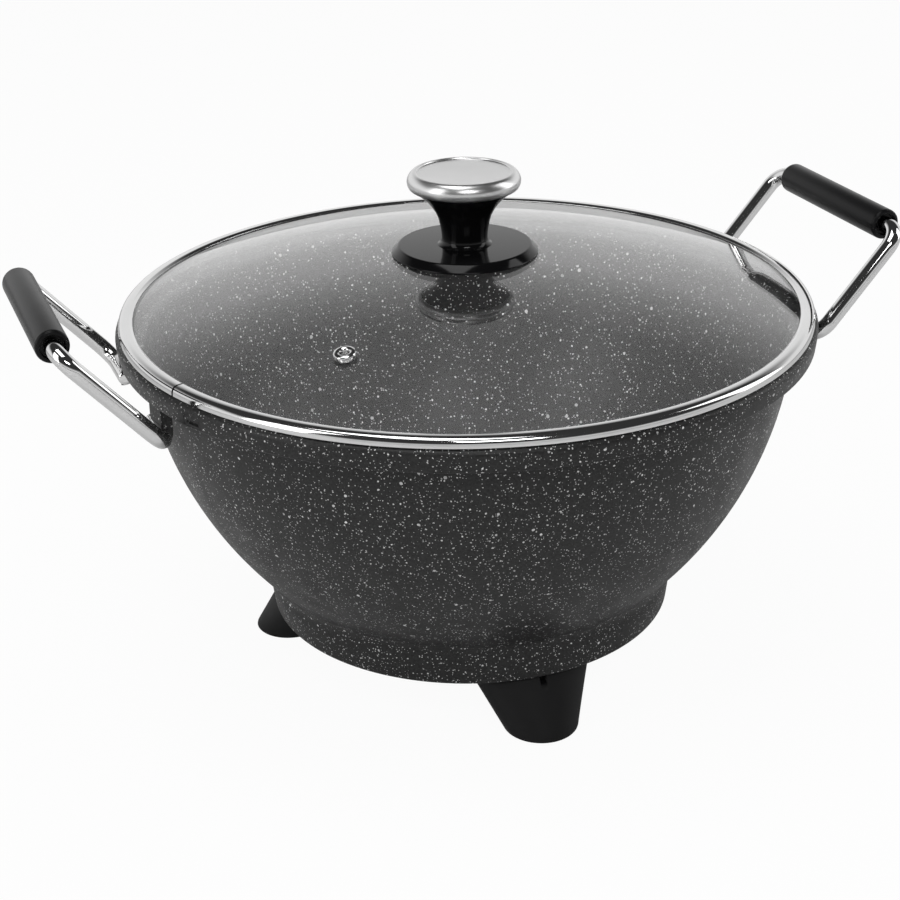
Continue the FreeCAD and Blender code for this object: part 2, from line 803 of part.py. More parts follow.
def lid_band():
    """Steel band round the glass: outer bead, top lip, glass groove and inner skirt."""
    groove_radius = glass_edge_radius + seat_clearance
    groove_top = band_top - band_lip_thickness
    groove_bottom = dome_height_at(glass_edge_radius, glass_dome_radius - glass_thickness) - seat_clearance
    skirt_outer = recess_radius - loose_clearance
    skirt_inner = skirt_outer - band_lip_thickness
    skirt_bottom = rim_height - band_skirt_depth
    outline = Outline(band_radius, rim_height)
    outline.line(band_radius, band_top).round(band_shoulder_round)
    outline.line(band_lip_radius, band_top)
    outline.line(band_lip_radius, groove_top)
    outline.line(groove_radius, groove_top)
    outline.line(groove_radius, groove_bottom)
    outline.line(band_lip_radius, groove_bottom)
    outline.line(band_lip_radius, groove_bottom - band_lip_thickness)
    outline.line(skirt_inner, groove_bottom - band_lip_thickness)
    outline.line(skirt_inner, skirt_bottom)
    outline.line(skirt_outer, skirt_bottom)
    outline.line(skirt_outer, rim_height)
    band = outline.revolve()
    seam = box(Vector(band_radius - band_seam_depth, -band_seam_width / 2, rim_height - overlap_depth),
               Vector(band_radius + overlap_depth, band_seam_width / 2, band_top + overlap_depth))
    return band.cut(turned(seam, band_seam_angle))


def vent_grommet():
    """Steel eyelet in the glass that lets steam out."""
    below = -(glass_thickness + seat_clearance)
    crest = (vent_hole_radius + vent_flange_radius) / 2
    outline = Outline(vent_hole_radius, below - vent_curl_height)
    outline.line(vent_curl_radius, below - vent_curl_height)
    outline.line(vent_curl_radius, below)
    outline.line(vent_barrel_radius, below)
    outline.line(vent_barrel_radius, seat_clearance)
    outline.line(vent_flange_radius, seat_clearance)
    outline.arc((crest, vent_flange_height), (vent_hole_radius, seat_clearance))
    return on_vent(outline.revolve())


def knob_skirt():
    """The bevelled disc between glass and knob, hollowed to the dome."""
    outline = Outline(spigot_radius, skirt_bottom - band_height)
    outline.line(skirt_radius, skirt_bottom - band_height)
    outline.line(skirt_radius, skirt_bottom)
    outline.line(skirt_top_radius, skirt_top)
    outline.line(spigot_radius, skirt_top)
    disc = outline.revolve()
    dome = Part.makeSphere(glass_dome_radius + skirt_gap, UP * glass_centre_height)
    disc = disc.cut(dome)
    pocket = Part.makeCylinder(gasket_radius + slip_clearance, gasket_top() - glass_centre_height, UP * glass_centre_height)
    return disc.cut(pocket)


def gasket_top():
    """Height of the top of the gasket between glass and skirt."""
    return glass_crown_height + gasket_thickness


def dome_washer(outer_radius, inner_radius, sphere_radius, thickness):
    """A washer whose two faces follow the glass dome; a negative thickness goes down."""
    middle = (outer_radius + inner_radius) / 2
    other = sphere_radius + thickness
    outline = Outline(inner_radius, dome_height_at(inner_radius, sphere_radius))
    outline.arc((middle, dome_height_at(middle, sphere_radius)),
                (outer_radius, dome_height_at(outer_radius, sphere_radius)))
    outline.line(outer_radius, dome_height_at(outer_radius, other))
    outline.arc((middle, dome_height_at(middle, other)), (inner_radius, dome_height_at(inner_radius, other)))
    return outline.revolve()


def knob_gasket():
    """Silicone gasket between glass and knob."""
    sphere = glass_dome_radius + running_clearance
    return dome_washer(gasket_radius, knob_screw_radius + slip_clearance, sphere, gasket_thickness - running_clearance)


def knob_seal():
    """Silicone washer under the glass."""
    return dome_washer(seal_radius, knob_screw_radius + slip_clearance, glass_dome_radius - glass_thickness, -seal_thickness)


def washer_top():
    """Height of the steel washer's flat top under the silicone washer."""
    sphere = glass_dome_radius - glass_thickness - seal_thickness
    return dome_height_at(washer_radius, sphere) - running_clearance


def knob_washer():
    """Steel washer between screw head and silicone washer."""
    top = washer_top()
    ring = Part.makeCylinder(washer_radius, washer_thickness, UP * (top - washer_thickness))
    return ring.cut(Part.makeCylinder(knob_screw_radius + slip_clearance, rim_height + washer_thickness + top))


def knob_screw():
    """Screw from under the glass up into the knob."""
    seat = UP * (washer_top() - washer_thickness)
    length = knob_screw_reach - seat.z
    return slotted_screw(knob_screw_radius, knob_screw_head_radius, knob_screw_head_height, seat, length)


def knob_stem():
    """The waisted black knob body, with a shouldered top that the cap is pressed over."""
    waist_low = (stem_waist_radius + (stem_base_radius - stem_waist_radius) / 4, (skirt_top + stem_waist_height) / 2)
    rise = stem_shoulder_height - stem_waist_height
    flare = (stem_waist_radius + (stem_shoulder_radius - stem_waist_radius) * 0.24, stem_waist_height + rise * 0.52)
    core_radius = cap_disc_radius - cap_shell
    core_top = cap_top - cap_disc_sink - cap_shell
    outline = Outline(0, skirt_top)
    outline.line(stem_base_radius, skirt_top)
    outline.arc(waist_low, (stem_waist_radius, stem_waist_height))
    outline.arc(flare, (stem_shoulder_radius, stem_shoulder_height))
    outline.line(stem_collar_radius, stem_collar_height)
    outline.line(core_radius, stem_collar_height)
    outline.line(core_radius, core_top)
    outline.line(0, core_top)
    stem = outline.revolve()
    hole = Part.makeCylinder(knob_screw_radius + seat_clearance, knob_screw_reach - skirt_top + 2 * overlap_depth,
                             UP * (skirt_top - overlap_depth))
    return stem.cut(hole)


def knob_cap():
    """The steel cap: a rounded disc with a sunk flat top, hollow over the knob's core."""
    core_radius = cap_disc_radius - cap_shell + running_clearance
    core_top = cap_top - cap_disc_sink - cap_shell + running_clearance
    lower_middle = (cap_radius - 0.9, (stem_collar_height + cap_widest_height) / 2 - 0.4)
    upper_middle = (cap_radius - 0.8, (cap_widest_height + cap_top) / 2 + 0.4)
    crest_inner = (cap_crest_radius + cap_disc_radius) / 2
    outline = Outline(0, core_top)
    outline.line(core_radius, core_top)
    outline.line(core_radius, stem_collar_height)
    outline.line(stem_collar_radius, stem_collar_height)
    outline.arc(lower_middle, (cap_radius, cap_widest_height))
    outline.arc(upper_middle, (cap_crest_radius, cap_top))
    outline.arc((crest_inner, cap_top - cap_disc_sink / 3), (cap_disc_radius, cap_top - cap_disc_sink))
    outline.line(0, cap_top - cap_disc_sink)
    return outline.revolve()


def save(name, shape):
    """Write one sub-part and say what it holds."""
    solids = len(shape.Solids)
    valid = shape.isValid()
    shape.exportStep(os.path.join("parts", name + ".step"))
    print(name, "solids", solids, "valid", valid, "volume", round(shape.Volume))


def build():
    """Make every sub-part at its place and write it."""
    cast = casting()
    save("wok_body", wok_body(cast))
    save("base_ring", base_ring(cast))
    save("clamp_posts", clamp_posts())
    save("sensor_saddle", sensor_saddle())
    save("heating_element", heating_element())
    save("element_clamp", element_clamp())
    save("clamp_screws", clamp_screws())
    for name, side in (("left", -1), ("right", 1)):
        save("terminal_pin_" + name, terminal_pin(side))
        save("terminal_collar_" + name, terminal_collar(side))
    save("sensor_tube", sensor_tube())
    save("socket_shroud", socket_shroud())
    save("shroud_screws", shroud_screws())
    save("base_cover", base_cover())
    for name, angle in zip(foot_names, foot_angles):
        save("foot_" + name, turned(foot(), angle))
        save("foot_pad_" + name, turned(foot_pad(), angle))
    save("foot_screws", foot_screws())
    for name, turn in (("right", 0.0), ("left", FULL_TURN / 2)):
        save("handle_wire_" + name, turned(handle_wire(), turn))
        save("grip_" + name, turned(grip(), turn))
    save("lid_glass", lid_glass())
    save("lid_band", lid_band())
    save("vent_grommet", vent_grommet())
    save("knob_skirt", knob_skirt())
    save("knob_gasket", knob_gasket())
    save("knob_seal", knob_seal())
    save("knob_washer", knob_washer())
    save("knob_screw", knob_screw())
    save("knob_stem", knob_stem())
    save("knob_cap", knob_cap())


build()
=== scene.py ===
"""Looks of an electric wok: speckled cast bowl, lift-off glass lid, wire side handles and splayed feet."""

import logging
import math
from dataclasses import dataclass, field
from enum import Enum
from typing import Iterable, Sequence

import bpy
from mathutils import Matrix, Vector


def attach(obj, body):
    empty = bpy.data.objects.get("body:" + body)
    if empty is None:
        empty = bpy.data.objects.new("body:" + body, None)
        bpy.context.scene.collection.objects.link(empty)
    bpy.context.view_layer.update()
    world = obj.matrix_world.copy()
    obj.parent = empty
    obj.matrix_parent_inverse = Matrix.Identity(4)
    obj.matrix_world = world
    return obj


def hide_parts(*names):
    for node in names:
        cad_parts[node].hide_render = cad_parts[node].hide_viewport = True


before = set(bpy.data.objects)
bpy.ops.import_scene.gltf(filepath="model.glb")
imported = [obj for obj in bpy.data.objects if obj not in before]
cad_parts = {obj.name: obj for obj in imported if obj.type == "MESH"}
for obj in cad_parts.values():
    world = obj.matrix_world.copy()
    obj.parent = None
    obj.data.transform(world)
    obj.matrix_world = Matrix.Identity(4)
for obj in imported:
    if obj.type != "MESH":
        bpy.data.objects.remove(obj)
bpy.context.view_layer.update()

LOG = logging.getLogger("wok")
MM = 0.001
FULL_TURN = 2 * math.pi
MERGE_DISTANCE = 2e-6
Pair = tuple[float, float]


class Side(Enum):
    """Which side of the bowl a handle is on."""

    LEFT = -1
    RIGHT = 1


class Ray(Enum):
    """Light Path outputs that the stage reads."""

    CAMERA = "Is Camera Ray"
    GLOSSY = "Is Glossy Ray"
    TRANSMISSION = "Is Transmission Ray"
    SHADOW = "Is Shadow Ray"


def grey(level: float) -> tuple[float, float, float, float]:
    """A neutral colour.

    Args:
        level: Brightness as it shows on screen, from 0 to 255.

    Returns:
        The linear colour with an alpha of one.
    """
    return tint(level, level, level)


def tint(red: float, green: float, blue: float) -> tuple[float, float, float, float]:
    """A colour given as it shows on screen.

    Args:
        red: Red from 0 to 255.
        green: Green from 0 to 255.
        blue: Blue from 0 to 255.

    Returns:
        The linear colour with an alpha of one.
    """
    def linear(value: float) -> float:
        share = value / 255.0
        return share / 12.92 if share <= 0.04045 else ((share + 0.055) / 1.055) ** 2.4
    return linear(red), linear(green), linear(blue), 1.0


class Wiring:
    """Adds nodes to one node tree and links them."""

    def __init__(self, tree: bpy.types.NodeTree) -> None:
        """Keep the tree that the nodes go into."""
        self.tree = tree

    def add(self, kind: str, **inputs: object) -> bpy.types.Node:
        """Add a node and fill or link its inputs.

        Args:
            kind: The node's type name.
            **inputs: Values or sockets, by input name with underscores for spaces.

        Returns:
            The new node.
        """
        node = self.tree.nodes.new(kind)
        for name, value in inputs.items():
            self.feed(node.inputs[name.replace("_", " ")], value)
        return node

    def feed(self, socket: bpy.types.NodeSocket, value: object) -> None:
        """Link a socket to an input, or set the input's value."""
        if isinstance(value, bpy.types.NodeSocket):
            self.tree.links.new(value, socket)
        else:
            socket.default_value = value

    def math(self, operation: str, *values: object, clamp: bool = False) -> bpy.types.NodeSocket:
        """A Math node's result.

        Args:
            operation: The node's operation.
            *values: Up to three numbers or sockets.
            clamp: Whether the result is held between zero and one.

        Returns:
            The value socket.
        """
        node = self.tree.nodes.new("ShaderNodeMath")
        node.operation = operation
        node.use_clamp = clamp
        for socket, value in zip(node.inputs, values):
            self.feed(socket, value)
        return node.outputs[0]

    def blend(self, factor: object, first: object, second: object) -> bpy.types.NodeSocket:
        """A colour between two colours.

        Args:
            factor: How much of the second colour shows.
            first: Colour or socket.
            second: Colour or socket.

        Returns:
            The colour socket.
        """
        node = self.tree.nodes.new("ShaderNodeMix")
        node.data_type = "RGBA"
        self.feed(node.inputs[0], factor)
        self.feed(node.inputs[6], first)
        self.feed(node.inputs[7], second)
        return node.outputs[2]

    def span(self, value: object, low: float, high: float, to_low: float,
             to_high: float) -> bpy.types.NodeSocket:
        """A value moved from one range to another, and held inside it.

        Args:
            value: Number or socket.
            low: Start of the range it comes from.
            high: End of the range it comes from.
            to_low: Result at low.
            to_high: Result at high.

        Returns:
            The value socket.
        """
        node = self.tree.nodes.new("ShaderNodeMapRange")
        self.feed(node.inputs[0], value)
        for index, number in enumerate((low, high, to_low, to_high), start=1):
            node.inputs[index].default_value = number
        return node.outputs[0]

    def noise(self, vector: object, scale: float, detail: float = 2.0, rough: float = 0.5) -> bpy.types.Node:
        """A Noise node with a scale in turns per metre.

        Args:
            vector: Coordinates.
            scale: How fine the noise is.
            detail: How many finer layers it has.
            rough: How strong the finer layers are.

        Returns:
            The node, for its factor or its colour.
        """
        return self.add("ShaderNodeTexNoise", Vector=vector, Scale=scale, Detail=detail, Roughness=rough)

    def local(self) -> bpy.types.NodeSocket:
        """Object coordinates."""
        return self.tree.nodes.new("ShaderNodeTexCoord").outputs["Object"]


def new_material(name: str) -> tuple[bpy.types.Material, Wiring, bpy.types.Node, bpy.types.Node]:
    """An empty material with a Principled shader.

    Args:
        name: The material's name.

    Returns:
        The material, its wiring, its shader and its output.
    """
    material = bpy.data.materials.new(name)
    material.use_nodes = True
    material.node_tree.nodes.clear()
    wiring = Wiring(material.node_tree)
    shader = wiring.add("ShaderNodeBsdfPrincipled")
    output = wiring.add("ShaderNodeOutputMaterial", Surface=shader.outputs[0])
    return material, wiring, shader, output


def new_group(name: str, inputs: dict[str, float], outputs: Sequence[str]) -> tuple[bpy.types.NodeTree,
                                                                                    bpy.types.Node,
                                                                                    bpy.types.Node]:
    """An empty shader group with a vector input, number inputs and number outputs.

    Args:
        name: The group's name.
        inputs: Names and standing values of the number inputs.
        outputs: Names of the number outputs.

    Returns:
        The group, its input node and its output node.
    """
    group = bpy.data.node_groups.new(name, "ShaderNodeTree")
    group.interface.new_socket(name="Vector", in_out="INPUT", socket_type="NodeSocketVector")
    for label, value in inputs.items():
        socket = group.interface.new_socket(name=label, in_out="INPUT", socket_type="NodeSocketFloat")
        socket.default_value = value
    for label in outputs:
        group.interface.new_socket(name=label, in_out="OUTPUT", socket_type="NodeSocketFloat")
    return group, group.nodes.new("NodeGroupInput"), group.nodes.new("NodeGroupOutput")


class Effects:
    """Node groups that more than one finish uses, each built once."""

    def __init__(self) -> None:
        """Build the groups."""
        self.flecks = self._flecks()
        self.grain = self._grain()
        self.handling = self._handling()

    def use(self, wiring: Wiring, group: bpy.types.NodeTree, vector: object,
            **inputs: object) -> bpy.types.Node:
        """Place a group in a material.

        Args:
            wiring: The material's wiring.
            group: The group to place.
            vector: Coordinates.
            **inputs: Values of its other inputs.

        Returns:
            The group's node.
        """
        node = wiring.tree.nodes.new("ShaderNodeGroup")
        node.node_tree = group
        wiring.feed(node.inputs["Vector"], vector)
        for name, value in inputs.items():
            wiring.feed(node.inputs[name], value)
        return node

    def _flecks(self) -> bpy.types.NodeTree:
        """Pale mineral flecks of uneven size: cells of a Voronoi pattern, of which a share holds one fleck each."""
        group, source, sink = new_group("flecks", {"Cell": 0.003, "Share": 0.5, "Radius": 0.0005,
                                                   "Soft": 0.00012}, ["Mask"])
        wiring = Wiring(group)
        wander = wiring.noise(source.outputs["Vector"], 620.0, 2.0)
        centred = wiring.tree.nodes.new("ShaderNodeVectorMath")
        centred.operation = "SUBTRACT"
        wiring.feed(centred.inputs[0], wander.outputs["Color"])
        centred.inputs[1].default_value = (0.5, 0.5, 0.5)
        moved = wiring.tree.nodes.new("ShaderNodeVectorMath")
        moved.operation = "MULTIPLY_ADD"
        wiring.feed(moved.inputs[0], centred.outputs[0])
        moved.inputs[1].default_value = (0.0009, 0.0009, 0.0009)
        wiring.feed(moved.inputs[2], source.outputs["Vector"])
        density = wiring.math("DIVIDE", 1.0, source.outputs["Cell"])
        cells = wiring.add("ShaderNodeTexVoronoi", Vector=moved.outputs[0], Scale=density)
        draw = wiring.add("ShaderNodeSeparateColor", Color=cells.outputs["Color"])
        chosen = wiring.math("LESS_THAN", draw.outputs[0], source.outputs["Share"])
        size = wiring.span(draw.outputs[1], 0.0, 1.0, 0.35, 1.0)
        radius = wiring.math("MULTIPLY", size, source.outputs["Radius"])
        distance = wiring.math("MULTIPLY", cells.outputs["Distance"], source.outputs["Cell"])
        inside = wiring.math("SUBTRACT", radius, distance)
        edge = wiring.math("DIVIDE", inside, source.outputs["Soft"], clamp=True)
        shine = wiring.span(draw.outputs[2], 0.0, 1.0, 0.45, 1.0)
        mask = wiring.math("MULTIPLY", wiring.math("MULTIPLY", edge, chosen), shine)
        wiring.feed(sink.inputs["Mask"], mask)
        return group

    def _grain(self) -> bpy.types.NodeTree:
        """Fine moulded or sprayed grain, as a height between zero and one."""
        group, source, sink = new_group("grain", {"Fine": 1800.0, "Broad": 90.0}, ["Height", "Drift"])
        wiring = Wiring(group)
        fine = wiring.noise(source.outputs["Vector"], 1.0, 3.0, 0.6)
        wiring.feed(fine.inputs["Scale"], source.outputs["Fine"])
        broad = wiring.noise(source.outputs["Vector"], 1.0, 2.0)
        wiring.feed(broad.inputs["Scale"], source.outputs["Broad"])
        wiring.feed(sink.inputs["Height"], fine.outputs["Fac"])
        wiring.feed(sink.inputs["Drift"], broad.outputs["Fac"])
        return group

    def _handling(self) -> bpy.types.NodeTree:
        """Faint smears left by hands and cloths, as a change of roughness about zero."""
        group, source, sink = new_group("handling", {"Scale": 40.0, "Amount": 0.05}, ["Roughness"])
        wiring = Wiring(group)
        smear = wiring.noise(source.outputs["Vector"], 1.0, 5.0, 0.62)
        smear.inputs["Distortion"].default_value = 1.2
        wiring.feed(smear.inputs["Scale"], source.outputs["Scale"])
        about = wiring.math("SUBTRACT", smear.outputs["Fac"], 0.5)
        wiring.feed(sink.inputs["Roughness"], wiring.math("MULTIPLY", about, source.outputs["Amount"]))
        return group


@dataclass(frozen=True)
class StoneCoating:
    """Charcoal non-stick coating with pale flecks, satin."""

    name: str = "stone_coating"
    dark: float = 15.0
    light: float = 40.0
    fleck: float = 225.0
    roughness: float = 0.42
    fleck_scale: float = 1.0
    fleck_share: float = 1.0
    bump: float = 0.35
    gloss: float = 0.3

    def build(self, effects: Effects) -> bpy.types.Material:
        """Make the material.

        Args:
            effects: The shared node groups.

        Returns:
            The material.
        """
        material, wiring, shader, _ = new_material(self.name)
        place = wiring.local()
        grain = effects.use(wiring, effects.grain, place, Fine=2300.0, Broad=60.0)
        mineral = wiring.noise(place, 900.0, 4.0, 0.7)
        ground = wiring.blend(wiring.span(mineral.outputs["Fac"], 0.36, 0.66, 0.0, 1.0), grey(self.dark),
                              grey(self.light))
        layers = ((5.2, 0.5, 0.85), (2.1, 0.65, 0.52), (1.15, 0.7, 0.36))
        masks = [effects.use(wiring, effects.flecks, place, Cell=cell * MM * self.fleck_scale,
                             Share=share * self.fleck_share, Radius=radius * MM * self.fleck_scale,
                             Soft=0.1 * MM).outputs["Mask"]
                 for cell, share, radius in layers]
        flecks = wiring.math("MAXIMUM", wiring.math("MAXIMUM", masks[0], masks[1]), masks[2])
        shader.inputs["Specular IOR Level"].default_value = self.gloss
        wiring.feed(shader.inputs["Base Color"], wiring.blend(flecks, ground, grey(self.fleck)))
        rough = wiring.span(grain.outputs["Drift"], 0.3, 0.7, self.roughness - 0.05, self.roughness + 0.05)
        wiring.feed(shader.inputs["Roughness"], rough)
        bump = wiring.add("ShaderNodeBump", Strength=self.bump, Distance=0.08 * MM,
                          Height=grain.outputs["Height"])
        wiring.feed(shader.inputs["Normal"], bump.outputs[0])
        return material


@dataclass(frozen=True)
class Metal:
    """Polished, satin or plated metal."""

    name: str
    colour: float = 205.0
    roughness: float = 0.1
    smear: float = 0.05
    brushed: float = 0.0
    bump: float = 0.0

    def build(self, effects: Effects) -> bpy.types.Material:
        """Make the material.

        Args:
            effects: The shared node groups.

        Returns:
            The material.
        """
        material, wiring, shader, _ = new_material(self.name)
        place = wiring.local()
        handling = effects.use(wiring, effects.handling, place, Scale=55.0, Amount=self.smear)
        drift = wiring.noise(place, 30.0, 2.0)
        wiring.feed(shader.inputs["Base Color"],
                    wiring.blend(drift.outputs["Fac"], grey(self.colour - 8), grey(self.colour + 8)))
        shader.inputs["Metallic"].default_value = 1.0
        wiring.feed(shader.inputs["Roughness"],
                    wiring.math("ADD", handling.outputs["Roughness"], self.roughness))
        if self.brushed:
            wiring.feed(shader.inputs["Normal"], self._turned(wiring, place))
        elif self.bump:
            grain = effects.use(wiring, effects.grain, place, Fine=1500.0, Broad=200.0)
            bump = wiring.add("ShaderNodeBump", Strength=self.bump, Distance=0.05 * MM,
                              Height=grain.outputs["Height"])
            wiring.feed(shader.inputs["Normal"], bump.outputs[0])
        return material

    def _turned(self, wiring: Wiring, place: bpy.types.NodeSocket) -> bpy.types.NodeSocket:
        """Fine rings about the vertical axis, as left by turning.

        Args:
            wiring: The material's wiring.
            place: Object coordinates.

        Returns:
            The normal socket.
        """
        parts = wiring.add("ShaderNodeSeparateXYZ", Vector=place)
        square = [wiring.math("MULTIPLY", parts.outputs[i], parts.outputs[i]) for i in (0, 1)]
        radius = wiring.math("SQRT", wiring.math("ADD", *square))
        rings = wiring.add("ShaderNodeCombineXYZ", X=radius, Z=parts.outputs[2])
        fine = wiring.noise(rings.outputs[0], 5200.0, 3.0, 0.7)
        bump = wiring.add("ShaderNodeBump", Strength=self.brushed, Distance=0.03 * MM,
                          Height=fine.outputs["Fac"])
        return bump.outputs[0]


@dataclass(frozen=True)
class Moulded:
    """Moulded plastic, silicone, rubber or ceramic."""

    name: str
    colour: tuple[float, float, float] = (16.0, 16.0, 16.0)
    lift: float = 5.0
    roughness: float = 0.3
    smear: float = 0.08
    fine: float = 1600.0
    bump: float = 0.1
    coat: float = 0.0
    gloss: float = 0.25

    def build(self, effects: Effects) -> bpy.types.Material:
        """Make the material.

        Args:
            effects: The shared node groups.

        Returns:
            The material.
        """
        material, wiring, shader, _ = new_material(self.name)
        place = wiring.local()
        grain = effects.use(wiring, effects.grain, place, Fine=self.fine, Broad=70.0)
        lifted = tuple(value + self.lift for value in self.colour)
        wiring.feed(shader.inputs["Base Color"],
                    wiring.blend(grain.outputs["Drift"], tint(*self.colour), tint(*lifted)))
        handling = effects.use(wiring, effects.handling, place, Scale=45.0, Amount=self.smear)
        wiring.feed(shader.inputs["Roughness"],
                    wiring.math("ADD", handling.outputs["Roughness"], self.roughness))
        bump = wiring.add("ShaderNodeBump", Strength=self.bump, Distance=0.05 * MM,
                          Height=grain.outputs["Height"])
        wiring.feed(shader.inputs["Normal"], bump.outputs[0])
        shader.inputs["Specular IOR Level"].default_value = self.gloss
        shader.inputs["Coat Weight"].default_value = self.coat
        shader.inputs["Coat Roughness"].default_value = 0.04
        return material


@dataclass(frozen=True)
class ClearGlass:
    """Clear tempered glass that lets lamps through."""

    name: str = "clear_glass"
    colour: float = 247.0
    roughness: float = 0.0
    index: float = 1.45

    def build(self, effects: Effects) -> bpy.types.Material:
        """Make the material.

        Args:
            effects: The shared node groups.

        Returns:
            The material.
        """
        material, wiring, shader, output = new_material(self.name)
        place = wiring.local()
        drift = wiring.noise(place, 25.0, 2.0)
        wiring.feed(shader.inputs["Base Color"],
                    wiring.blend(drift.outputs["Fac"], grey(self.colour - 2), grey(self.colour + 2)))
        handling = effects.use(wiring, effects.handling, place, Scale=20.0, Amount=0.02)
        wiring.feed(shader.inputs["Roughness"],
                    wiring.math("ADD", handling.outputs["Roughness"], self.roughness, clamp=True))
        shader.inputs["Transmission Weight"].default_value = 1.0
        shader.inputs["IOR"].default_value = self.index
        clear = wiring.add("ShaderNodeBsdfTransparent")
        clear.inputs["Color"].default_value = grey(self.colour)
        path = wiring.add("ShaderNodeLightPath")
        mixed = wiring.tree.nodes.new("ShaderNodeMixShader")
        wiring.feed(mixed.inputs[0], path.outputs[Ray.SHADOW.value])
        wiring.feed(mixed.inputs[1], shader.outputs[0])
        wiring.feed(mixed.inputs[2], clear.outputs[0])
        wiring.feed(output.inputs["Surface"], mixed.outputs[0])
        return material


@dataclass
class Profile:
    """A half section, drawn as (radius, height) pairs in millimetres, with corners to be rounded."""

    points: list[Pair] = field(default_factory=list)
    corners: list[tuple[int, float]] = field(default_factory=list)

    def to(self, radius: float, height: float, reach: float = 0.0) -> "Profile":
        """Go straight to a point.

        Args:
            radius: Distance from the axis.
            height: Height along the axis.
            reach: How far before and after the point its corner is rounded.

        Returns:
            The profile itself.
        """
        self.points.append((radius, height))
        if reach:
            self.corners.append((len(self.points) - 1, reach))
        return self

    def sweep(self, centre: Pair, size: float, start: float, end: float, parts: int = 24,
              reach: float = 0.0) -> "Profile":
        """Follow an arc.

        Args:
            centre: The arc's centre.
            size: The arc's radius.
            start: Start angle in degrees, from outwards to up.
            end: End angle in degrees.
            parts: Number of runs along it.
            reach: How far round the arc's last point its corner is rounded.

        Returns:
            The profile itself.
        """
        for index in range(parts + 1):
            angle = math.radians(start + (end - start) * index / parts)
            self.points.append((centre[0] + size * math.cos(angle), centre[1] + size * math.sin(angle)))
        if reach:
            self.corners.append((len(self.points) - 1, reach))
        return self

    def rounded(self, parts: int = 8) -> list[Pair]:
        """The profile with its corners rounded.

        Args:
            parts: Number of runs in each rounded corner.

        Returns:
            The points from start to end.
        """
        points = list(self.points)
        for index, reach in sorted(self.corners, reverse=True):
            before, low = self._walk(points, index, -1, reach)
            after, high = self._walk(points, index, 1, reach)
            corner = points[index]
            curve = []
            for step in range(parts + 1):
                t = step / parts
                weights = ((1 - t) ** 2, 2 * t * (1 - t), t ** 2)
                curve.append(tuple(sum(w * p[axis] for w,
                                       p in zip(weights, (before, corner, after))) for axis in (0, 1)))
            points[low + 1:high] = curve
        return points

    @staticmethod
    def _walk(points: Sequence[Pair], index: int, step: int, reach: float) -> tuple[Pair, int]:
        """A point at a distance along the profile from one of its points.

        Args:
            points: The profile's points.
            index: Where the walk starts.
            step: One to walk on, minus one to walk back.
            reach: How far to walk.

        Returns:
            The point, and the index of the point beyond it.
        """
        left = reach
        here = points[index]
        while 0 <= index + step < len(points):
            following = points[index + step]
            run = math.dist(here, following)
            if run >= left:
                share = left / run
                spot = tuple(a + (b - a) * share for a, b in zip(here, following))
                return spot, index + step
            left -= run
            here = following
            index += step
        return here, index


